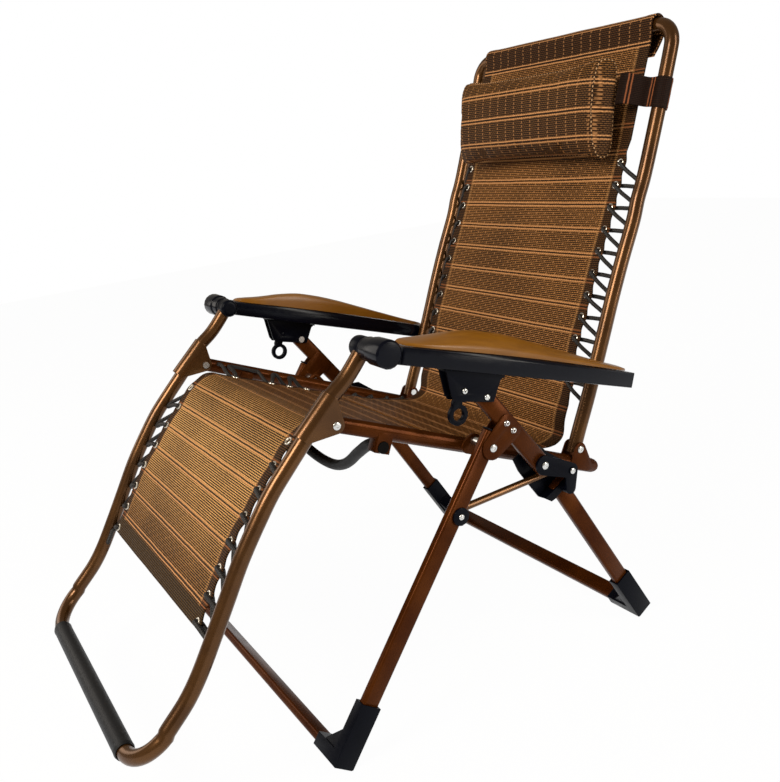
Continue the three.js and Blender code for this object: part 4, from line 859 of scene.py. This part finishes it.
# Struts with flattened ends
def strut(side, rows=61, columns=20, end=0.008, plane=0.3154, radius=0.006, flat=0.0018):
    line = STRUT_REAR - STRUT_FRONT
    way = line.normalized()
    across = Vector((-way.y, way.x))
    verts, uv = [], []
    for i in range(rows):
        run = -end + (line.length + 2 * end) * i / (rows - 1)
        near = min(run + end, line.length + end - run)
        blend = min(1, max(0, (near - 0.020) / 0.014))
        blend = blend * blend * (3 - 2 * blend)
        wide = end * math.sqrt(max(0, 1 - (1 - min(near, end) / end) ** 2))
        wide = max(wide, 0.0012) * (1 - blend) + radius * blend
        thick = flat * (1 - blend) + radius * blend
        power = 1 if blend > 0.5 else 0.6
        for k in range(columns):
            a = TURN * k / columns
            place = STRUT_FRONT + way * run + across * (wide * eased(math.cos(a), power))
            verts.append(spot(side * (plane + thick * eased(math.sin(a), power)), place))
            uv.append((k / columns, run + end))
    return verts, flipped(ring_faces(rows, columns), side < 0), uv


for side, word in SIDES:
    new_piece(f"strut_bar_{word}", [strut(side)], bronze, f"strut_{word[0]}", "bronze", f"strut_{word}")

# The bowed tube under the seat, by its shares of the width, of the drop and of the way back
CROSS_SHARES = [
    (1.04, 0), (0.95, 0), (0.89, 0.04), (0.81, 0.13), (0.71, 0.27), (0.6, 0.43),
    (0.47, 0.63), (0.34, 0.8), (0.2, 0.93), (0.07, 0.99),
]
CROSS_R, RAIL_HALF = 0.0095, 0.013
rail_way = (RAIL_END - RAIL_FRONT).normalized()
rail_up = Vector((-rail_way.y, rail_way.x))
place = RAIL_FRONT + rail_way * (0.084 / rail_way.x) - rail_up * (RAIL_HALF + CROSS_R + 0.0003)
half = [spot(x * RAIL_PLANE, place + Vector((drop * 0.031, -drop * 0.107))) for x, drop in CROSS_SHARES]
bow = spline(half + [Vector((-p.x, p.y, p.z)) for p in reversed(half)], 160)
new_piece("cross_tube_bow", [sweep(bow, CROSS_R, 28)], dark_tube, "seat", "dark_tube", "cross_tube")

# Foam grip
GRIP_HALF, GRIP_BORE = 0.2197, 0.0131
grip = [(0.0001 - GRIP_HALF, GRIP_BORE)]
for i in range(81):
    x = GRIP_HALF * (i / 40 - 1)
    end = GRIP_HALF - abs(x)
    lip = 0.0006 * math.exp(-((end - 0.004) / 0.003) ** 2)
    grip.append((x, 0.0153 + lip - 0.0010 * math.exp(-end / 0.0012)))
grip.append((GRIP_HALF - 0.0001, GRIP_BORE))
form = lathe(grip, leg_places[-1], 1, 40, True)
new_piece("foam_sleeve", [form], foam, "leg_rest", "foam", "foam_grip")

# Knuckles at the armrests' front ends
KNUCKLE = [
    (0.2586, 0.0085), (0.2586, 0.0128), (0.2592, 0.0142), (0.2604, 0.0156), (0.2622, 0.0166),
    (0.2650, 0.0170), (0.2850, 0.0170), (0.2856, 0.0166), (0.2862, 0.0166), (0.2868, 0.0170),
    (0.2888, 0.0170), (0.2894, 0.0165), (0.2900, 0.0165), (0.2906, 0.0170), (0.2920, 0.0168),
    (0.2921, 0.0070), (0.3010, 0.0070),
]
for side, word in SIDES:
    form = lathe(KNUCKLE, ARM_FRONT, side, 40)
    new_piece(f"knuckle_{word}", [form], black, "leg_rest", "black", f"arm_knuckle_{word}")

# Caramel inlays
ARM_LENGTH, HOUSING, INLAY_START = 0.491, 0.022, 0.034
ARM_SIDE, INLAY_HALF = 0.3195, 0.0285
INLAY_BASE, ARM_BOW, INLAY_CROWN = 0.0136, 0.004, 0.027
arm_way = Vector((0.446, -0.147)).normalized()
arm_up = Vector((-arm_way.y, arm_way.x))
crest = (0.12, 0.4, 0.78, 1, 0.98, 0.86, 0.68, 0.5, 0.34, 0.2, 0.1)
INLAY_RISE = spline([(i / 10, rise) for i, rise in enumerate(crest)], 401)


def inlay(side, rows=96, columns=26):
    verts = []
    for upper in (True, False):
        for i in range(rows + 1):
            share = i / rows
            run = INLAY_START + share * (ARM_LENGTH - 0.006 - INLAY_START)
            along = (run - HOUSING) / (ARM_LENGTH - HOUSING)
            narrow = math.sqrt(1 - 0.75 * abs(2 * share - 1) ** 10)
            base = INLAY_BASE + ARM_BOW * 4 * along * (1 - along)
            crown = INLAY_CROWN * INLAY_RISE[int(round(share * 400))].y
            ends = min(1, min(share, 1 - share) / 0.012)
            for k in range(columns + 1):
                out = -math.cos(math.pi * k / columns)
                from_crest = (out + 0.35) / 1.35
                rim = math.sqrt(max(0.0, 1 - max(0, (abs(out) - 0.93) / 0.07) ** 2))
                dome = (0.003 + crown * (1 - 0.75 * from_crest ** 2)) * (0.55 + 0.45 * rim * ends)
                place = ARM_FRONT + arm_way * run + arm_up * (base + (dome if upper else 0))
                verts.append(spot(side * (ARM_SIDE + out * INLAY_HALF * narrow), place))
    return verts, flipped(shell_faces(rows + 1, columns + 1), side < 0), [(v.x, v.y) for v in verts]


for side, word in SIDES:
    new_piece(f"inlay_pad_{word}", [inlay(side)], caramel, f"armrest_{word[0]}", "caramel", f"inlay_{word}")


# Sling profiles: shares along the rail, up the back and down the leg rest, with offsets in tubes;
# the sleeve's are offsets from the top bar
SEAT_SHARES = [(0.885, 0.62), (0.8, 0.2), (0.7, -0.1), (0.5, -0.3), (0.25, -0.36), (0.03, -0.42)]
BACK_EDGE = [
    (0.06, 0.16), (0.145, 0.2), (0.235, 0.62), (0.33, 0.5), (0.44, 0.5), (0.55, 0.5), (0.66, 0.5),
    (0.77, 0.5), (0.88, 0.55),
]
SLEEVE = [
    (-0.68, -0.5), (-0.66, 0.05), (-0.5, 0.5), (0, 0.74), (0.46, 0.52), (0.62, 0.05), (0.5, -0.6),
    (0.05, -1.3), (-0.55, -2.0),
]
LEG_EDGE = [
    (0.25, 0.52), (0.305, 0.56), (0.363, 0.44), (0.416, 0.36), (0.48, 0.1), (0.6, -0.05), (0.707, -0.2),
]
top_bar = back_places[-1]
seat_side = [
    RAIL_FRONT + (RAIL_END - RAIL_FRONT) * run + rail_up * (rise * TUBE) for run, rise in SEAT_SHARES
]
back_side = [
    at_height(back_profile, BACK_PIN.y + rise * BACK_RISE) - Vector((out * TUBE, 0))
    for rise, out in BACK_EDGE
]
leg_side = [
    at_height(leg_profile, ARM_FRONT.y - drop * LEG_DROP) + Vector((out * TUBE, 0))
    for drop, out in LEG_EDGE
]
sleeve = [top_bar + Vector(shares) * TUBE for shares in SLEEVE]
knee = [RAIL_FRONT + Vector(shares) * TUBE for shares in ((-0.01, -0.46), (-0.72, -0.44))]
hip = BACK_PIN + Vector((0.005, 0.0083))


class Profile:
    """One sheet's side view, with the distance along it at each point."""

    def __init__(self, points, count):
        self.points = resample(spline(points, count), 0.004)
        self.runs = arc_length(self.points)

    def at(self, run):
        """The place at a distance along the profile, and the way it runs there."""
        points = self.points
        place, i = lerp_at(points, self.runs, min(max(run, 0), self.runs[-1]))
        way = points[min(i + 2, len(points) - 1)] - points[max(i - 1, 0)]
        return place, way.normalized()


upper_side = Profile([*seat_side[3::-1], hip, *back_side, *sleeve], 900)
lower_side = Profile([*seat_side[3:], *knee, *leg_side], 500)

# Eyelets, by their distance along the sheets; one is left out over the cross tube's clamp
BACK_LACE, LEG_LACE = 0.040, 0.0425
back_eyes, seat_eyes, front_eyes = (
    [0.0193 + BACK_LACE * n for n in numbers] for numbers in (range(8, 19), range(1, 5), (1, 2, 3, 5))
)
leg_eyes = [0.0195 + LEG_LACE * n for n in range(7, 15)]
EYE_X = FABRIC_HALF - 0.0125
DRAWN_OUT = 0.0046
CLOTH_HALF, FOLD_HALF = 0.0008, 0.0013


def edge_half(run, eyes):
    """Half width of the sling, drawn out a little at each eyelet."""
    near = min(abs(run - e) for e in eyes)
    if near > BACK_LACE * 0.5:
        fade = max(0.0, 1 - (near - BACK_LACE * 0.5) / 0.02)
        return FABRIC_HALF - DRAWN_OUT * fade
    return FABRIC_HALF - DRAWN_OUT * (0.5 - 0.5 * math.cos(TURN * near / BACK_LACE))


def thick_grid(name, grid, uv, thick, material):
    """A closed sheet round a grid of points; thick gives its half thickness at (i, k)."""
    rows, columns = len(grid), len(grid[0])
    front, rear = [], []
    for i in range(rows):
        for k in range(columns):
            du = grid[i][min(k + 1, columns - 1)] - grid[i][max(k - 1, 0)]
            dv = grid[min(i + 1, rows - 1)][k] - grid[max(i - 1, 0)][k]
            normal = du.cross(dv).normalized()
            front.append(grid[i][k] + normal * thick(i, k))
            rear.append(grid[i][k] - normal * thick(i, k))
    return new_object(name, front + rear, shell_faces(rows, columns), material, uv * 2)


def sling_piece(name, profile, eyes, sag, cloth, count=60):
    """A sheet of cloth along a profile, with a dip between its sides and a pull at its eyelets."""
    shares = [eased(-1 + 2 * k / count, 0.82) for k in range(count + 1)]
    points = profile.points
    grid, uv = [], []
    for i, (p, run) in enumerate(zip(points, profile.runs)):
        way = (points[min(i + 1, len(points) - 1)] - points[max(i - 1, 0)]).normalized()
        normal = Vector((-way.y, way.x))
        width = edge_half(run, eyes)
        near = min(eyes, key=lambda e: abs(run - e))
        row = []
        for s in shares:
            x = s * width
            pull = math.exp(-((run - near) / 0.012) ** 2) * math.exp(-(abs(abs(x) - EYE_X) / 0.014) ** 2)
            ripple = 0.0008 * noise.noise(Vector((x * 14, run * 9, 3.1))) - 0.0012 * pull
            row.append(spot(x, p - normal * (sag(p, run) * (1 - s * s) + ripple)))
            uv.append((x, run))
        grid.append(row)
    hem = [abs(s) * FABRIC_HALF > FABRIC_HALF - HEM for s in shares]
    end_hem = len(points) - 7
    return thick_grid(name, grid, uv, lambda i, k: FOLD_HALF if hem[k] or i > end_hem else CLOTH_HALF, cloth)


def upper_sag(p, run):
    if run <= 0.3:
        return -0.001
    rise = (p.y - BACK_PIN.y) / BACK_RISE
    return 0.0035 * max(0.0, min(1.0, rise / 0.3)) * max(0.0, min(1, (0.9 - rise) / 0.2))


upper = sling_piece("sling_upper", upper_side, back_eyes + seat_eyes, upper_sag, upper_cloth)
lower = sling_piece("sling_lower", lower_side, front_eyes + leg_eyes, lambda p, run: 0.0, lower_cloth)


# Lacing and eyelets
def eyelet(centre, normal, around=22, across=8):
    ref = Vector((1, 0, 0))
    ref = (ref - normal * ref.dot(normal)).normalized()
    other = normal.cross(ref)
    verts, uv = [], []
    for i in range(around):
        a = TURN * i / around
        out = ref * math.cos(a) + other * math.sin(a)
        for k in range(across):
            b = TURN * k / across
            verts.append(centre + out * (0.0056 + 0.0018 * math.cos(b)) + normal * (0.0023 * math.sin(b)))
            uv.append((i / around, k / across))
    return verts, flipped(ring_faces(around, across, closed=True)), uv


def nearest(profile, p):
    return min(profile, key=lambda q: (q - p).length)


CORD_R = 0.0038
CORD_LIFT = CORD_R + CLOTH_HALF
TIE_HALF = 0.0034


def laced(profile, eyes, side, tube_line, plane, half, turn, lag, tail=False):
    """The cord's points: out of each eyelet, over the hem to the tube, and back under the hem."""
    reach, a = half + CORD_R + 0.0004, math.radians(turn)

    def round_tube(run):
        """The cord's place on the tube, and the cloth's way there."""
        place, way = profile.at(run)
        up = Vector((-way.y, way.x)) * (reach * math.sin(a))
        return spot(side * (plane - reach * math.cos(a)), nearest(tube_line, place) + up), way

    points = []
    for n, run in enumerate(eyes):
        p, way = profile.at(run)
        up = Vector((0, -way.y, way.x))
        eye = spot(side * EYE_X, p)
        tie, way = round_tube(run + lag)
        along = Vector((0, *way)) * math.copysign(TIE_HALF, lag)
        if n:
            points += [eye.lerp(points[-1], 0.36) - up * (CORD_R + 0.0012), eye - up * CORD_LIFT]
        points += [eye + up * CORD_LIFT, eye.lerp(tie, 0.36) + up * CORD_LIFT]
        points += [tie - along - Vector((side * 0.0006, 0, 0)), tie + along]
        if n < len(eyes) - 1 and abs(eyes[n + 1] - run) > 0.07:
            # along the tube where no eyelet is near
            points.append(round_tube(eyes[n + 1])[0])
    if tail:
        at = tube_line.index(nearest(tube_line, profile.at(eyes[-1] + lag)[0]))
        for q in tube_line[at + 2:at + 7]:
            points.append(spot(side * (plane - half - CORD_R - 0.0006), q))
    return points


def knot(centre, way):
    """A small overhand knot on the cord's end."""
    turns = []
    for k in range(25):
        a = TURN * k / 24 * 1.5
        loop = Vector((math.cos(a), 0, math.sin(a))) * 0.0026
        turns.append(centre + way * (0.0032 * math.sin(a * 2 / 3)) + loop)
    return sweep(turns, 0.0024, 8)


def cord(points):
    return sweep(spline(points, len(points) * 5), CORD_R, 10)


rail_line = [RAIL_FRONT + (RAIL_END - RAIL_FRONT) * (i / 100) for i in range(101)]
for side, word in SIDES:
    back_tube = (side, back_profile, BACK_PLANE, FRAME_R, -25)
    leg_tube = (side, leg_profile, LEG_REST_PLANE, FRAME_R, 25)
    rail = (side, rail_line, RAIL_PLANE, 0.0104, -25)
    parts = [cord(laced(upper_side, back_eyes[::-1], *back_tube, -0.85 * BACK_LACE))]
    new_piece(f"cord_back_{word}", parts, cord_cover, "back", "cord", f"lacing_back_{word}")
    points = laced(lower_side, leg_eyes, *leg_tube, 1.2 * LEG_LACE, tail=True)
    parts = [cord(points), knot(points[-1], (points[-1] - points[-2]).normalized())]
    new_piece(f"cord_leg_{word}", parts, cord_cover, "leg_rest", "cord", f"lacing_leg_{word}")
    seat_runs = ((upper_side, seat_eyes), (lower_side, front_eyes))
    parts = [cord(laced(profile, eyes, *rail, 0.5 * BACK_LACE)) for profile, eyes in seat_runs]
    new_piece(f"cord_seat_{word}", parts, cord_cover, "seat", "cord", f"lacing_seat_{word}")

for name, profile, eyes, body in (
    ("eyelets_back", upper_side, back_eyes, "back"),
    ("eyelets_seat", upper_side, seat_eyes, "seat"),
    ("eyelets_knee", lower_side, front_eyes, "seat"),
    ("eyelets_leg", lower_side, leg_eyes, "leg_rest"),
):
    parts = []
    for p, way in map(profile.at, eyes):
        parts += [eyelet(spot(x, p), Vector((0, -way.y, way.x))) for x in (EYE_X, -EYE_X)]
    new_piece(name, parts, eyelet_metal, body, "steel")


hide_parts("sling_back", "sling_seat")
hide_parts("sling_leg")
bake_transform(upper)
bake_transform(lower)

# Head pillow
PILLOW_HALF, PILLOW_SHIFT, PILLOW_TALL, PILLOW_THICK = 0.214, 0.013, 0.178, 0.064
PILLOW_TAPER, TAPER_FROM = 0.013, 0.55
PILLOW_LEAN, PILLOW_DROP, PILLOW_AHEAD = math.radians(9), 0.127, 0.0675
pillow_z = top_bar.y - PILLOW_DROP
pillow_mid = Vector((at_height(back_profile, pillow_z).x - PILLOW_AHEAD, pillow_z))
pillow_up = Vector((math.sin(PILLOW_LEAN), math.cos(PILLOW_LEAN)))
pillow_out = Vector((-pillow_up.y, pillow_up.x))


def pillow_point(x, rise, out):
    return spot(x + PILLOW_SHIFT, pillow_mid + pillow_up * rise + pillow_out * out)


def pillow_local(p):
    place = Vector((p.y, p.z)) - pillow_mid
    return p.x - PILLOW_SHIFT, place.dot(pillow_up), place.dot(pillow_out)


def pillow_section(a):
    """Rise and depth round the section, as shares: full at the top, thin at the foot."""
    v, front = eased(math.sin(a), 0.78), math.cos(a) > 0
    w = eased(math.cos(a), 0.72 if front else 0.42)
    return v, w * (1.0 + 0.12 * v if front else 1.0)


def pillow_taper(u, w):
    """How far the near end is drawn in, more so in front."""
    return PILLOW_TAPER * max(0.0, (u - TAPER_FROM) / (1 - TAPER_FROM)) * (1 + w) / 2


def pillow_shape(shrink, columns=80, around=48):
    """A closed form with drawn-in sides, thickest in the middle."""
    verts = []
    for i in range(columns + 1):
        u = eased(-1 + 2 * i / columns, 0.9)
        end = min(1.0, (1 - abs(u)) / 0.018)
        edge = 0.93 + 0.07 * math.sqrt(max(0.0, 1 - (1 - end) ** 2))
        thick = (PILLOW_THICK / 2 - shrink) * (0.78 + 0.22 * (1 - u ** 8)) * edge
        tall = (PILLOW_TALL / 2 - shrink - 0.004 * (1 - u * u)) * edge
        for k in range(around):
            v, w = pillow_section(TURN * k / around)
            x = u * (PILLOW_HALF - shrink) - 0.003 * (1 - v * v) * u ** 9 - pillow_taper(u, w)
            verts.append(pillow_point(x, v * tall, w * thick))
    return verts, ring_faces(columns + 1, around)


def applied(obj):
    """Applies an object's modifiers to its mesh."""
    graph = bpy.context.evaluated_depsgraph_get()
    mesh = bpy.data.meshes.new_from_object(obj.evaluated_get(graph))
    obj.modifiers.clear()
    obj.data = mesh


def swell(obj, voxel, cap, pressure, frames=20):
    """Voxel remesh, cloth pressure and a capped result, left on the mesh."""
    add_mod(obj, "REMESH", "voxels", mode="VOXEL", voxel_size=voxel)
    applied(obj)
    start = [v.co.copy() for v in obj.data.vertices]
    mod = obj.modifiers.new("cloth", "CLOTH")
    settings = mod.settings
    settings.quality = 6
    settings.mass = 0.3
    settings.tension_stiffness = settings.compression_stiffness = 12
    settings.bending_stiffness = 0.6
    settings.use_pressure = True
    settings.uniform_pressure_force = pressure
    settings.effector_weights.gravity = 0
    mod.collision_settings.use_collision = False
    mod.point_cache.frame_start, mod.point_cache.frame_end = 1, frames
    for number in range(1, frames + 1):
        scene.frame_set(number)
    moved = obj.evaluated_get(bpy.context.evaluated_depsgraph_get()).data
    ends = [v.co.copy() for v in moved.vertices]
    obj.modifiers.clear()
    for vertex, a, b in zip(obj.data.vertices, start, ends):
        step = b - a
        vertex.co = a + (step * (cap / step.length) if step.length > cap else step)
    scene.frame_set(1)


pillow = new_object("pillow_pad", *pillow_shape(0.0045), pillow_cloth)
swell(pillow, 0.0045, 0.007, 4)
DEEPEST = PILLOW_THICK / 2 + 0.003
for vertex in pillow.data.vertices:
    x, rise, out = pillow_local(vertex.co)
    # puckers along the long seams and soft dents in the front
    near = math.exp(-((abs(rise) - PILLOW_TALL / 2) / 0.016) ** 2)
    pucker = 0.0007 * near * math.sin(x * TURN / 0.019 + 3 * noise.noise(Vector((x * 22, 0, 1))))
    dent = 0.0016 * noise.noise(Vector((x * 11, rise * 15, 5.2))) if out > 0 else 0
    x = max(-PILLOW_HALF, min(PILLOW_HALF, x))
    rise += math.copysign(pucker, pucker * rise)
    vertex.co = pillow_point(x, rise, max(-DEEPEST, min(DEEPEST, out + dent)))
add_mod(pillow, "SUBSURF", "smooth", levels=1, render_levels=1)
applied(pillow)
mesh = pillow.data
layer = mesh.uv_layers.new(name="weave")
up = Vector((0, *pillow_up))
for face in mesh.polygons:
    end_face = abs(face.normal.x) > 0.7
    top_face = abs(face.normal.dot(up)) > 0.8
    for index in face.loop_indices:
        x, rise, out = pillow_local(mesh.vertices[mesh.loops[index].vertex_index].co)
        over = math.copysign(1, rise) * (PILLOW_THICK / 2 - out) if top_face else 0
        layer.data[index].uv = (x + (out if end_face else 0), rise + 0.025 + 0.7 * over)
mesh.shade_smooth()
claim(pillow, "back", "fabric", "head_pillow")


def on_pillow(probe, lift=0.0003):
    found, place, normal, index = pillow.closest_point_on_mesh(probe)
    return place + normal * lift


def end_seam(u):
    """Piping round the pillow's end, laid on its surface."""
    points = []
    for k in range(72):
        v, w = pillow_section(TURN * k / 72)
        x = u * PILLOW_HALF - pillow_taper(u, w)
        points.append(on_pillow(pillow_point(x, v * PILLOW_TALL / 2, w * PILLOW_THICK / 2)))
    return sweep(points, 0.0010, 8, closed=True)


def long_seam(angle):
    v, w = pillow_section(math.radians(angle))
    points = [on_pillow(pillow_point(-0.2 + 0.385 * k / 60, v * 0.11, w * 0.04)) for k in range(61)]
    return sweep(points, 0.0009, 8)


seams = [end_seam(0.975), end_seam(-0.975), long_seam(-97), long_seam(84)]
new_piece("pillow_seams", seams, thread, "back", "fabric")

# Straps from the pillow's ends round the back tube
STRAP, STRAP_HALF = 0.053, 0.0008
strap_z = pillow_z + STRAP / 4
strap_mid, strap_high, strap_low = (at_height(back_profile, strap_z + rise) for rise in (0, STRAP, -STRAP))
strap_way = (strap_high - strap_low).normalized()
strap_front = Vector((-strap_way.y, strap_way.x))
pillow_run = pillow_mid.x + (strap_mid.y - pillow_mid.y) * (pillow_up.x / pillow_up.y)
tail_out = strap_mid.x - pillow_run - 0.019


def strap_loop(side, columns=22):
    reach = BACK_PLANE - (PILLOW_HALF + side * PILLOW_SHIFT - 0.004)
    r = FRAME_R + 0.0008 + STRAP_HALF
    line = [(-reach - 0.004, tail_out), (-reach * 0.75, tail_out * 0.9 + r * 0.08), (-reach / 3, r + 0.0016)]
    angles = [math.radians(a) for a in range(90, -91, -15)]
    line += [(r * math.cos(a), r * math.sin(a)) for a in angles]
    line += [(-reach / 4, -r), (-reach / 2, -r + 0.0004)]
    path = resample(spline(line, 220), 0.0016)
    grid, uv = [], []
    for p, run in zip(path, arc_length(path)):
        row = []
        narrow = 1 - 0.05 * math.exp(-((p.x + reach * 0.4) / 0.02) ** 2)
        for k in range(columns + 1):
            v = (-0.5 + k / columns) * STRAP * narrow
            lift = 0.0005 * noise.noise(Vector((run * 60, v * 90, side * 2.0)))
            place = strap_mid + strap_way * v + strap_front * (p.y + lift)
            row.append(spot(side * (BACK_PLANE + p.x), place))
            uv.append((v, run))
        grid.append(row)
    return grid, uv


for side, word in SIDES:
    grid, uv = strap_loop(side)
    last = len(grid[0]) - 1
    strap = thick_grid(
        f"strap_{word}", grid, uv, lambda i, k: STRAP_HALF * (0.55 if k in (0, last) else 1), webbing,
    )
    add_mod(strap, "NODES", "shading", node_group=SMOOTH)
    claim(strap, "back", "strap", f"pillow_strap_{word}")
    tube_mid = spot(side * BACK_PLANE, strap_mid)
    stitches = []
    for k in (2, last - 2):
        for i in range(3, len(grid) - 4, 3):
            a, b = grid[i][k], grid[i + 1][k]
            way = (b - a).normalized()
            outward = way.cross(Vector((0, *strap_way))).normalized()
            outward *= 1 if outward.dot(a - tube_mid) > 0 else -1
            place = a.lerp(b, 0.5) + outward * (STRAP_HALF + 0.0001)
            stitches.append(sweep([place + way * x for x in (-0.0012, 0, 0.0012)], 0.00035, 6))
    new_piece(f"strap_stitches_{word}", stitches, thread, "back", "strap")

# Carried-over CAD nodes: material, bevel width, segments and angle limit
CARRIED = {
    "armrest": (board, 0.0026, 3, 30),
    "arm_shoe": (black, 0.0010),
    "lock_lever": (black, 0.0010),
    "gusset_inner": (brown, 0.0005),
    "gusset_outer": (brown, 0.0005),
    "seat_rail": (brown, 0.0012),
    "rear_fitting": (black, 0.0012, 3),
    "front_shoe": (black, 0.0024, 3, 30),
    "rear_shoe": (black, 0.0024, 3, 30),
    "leg_plug": (black, 0.0012, 3),
    "strut_disc": (black, 0.0010),
}
for name, finish in CARRIED.items():
    for side, word in SIDES:
        finish_cad(f"{name}_{word}", *finish)
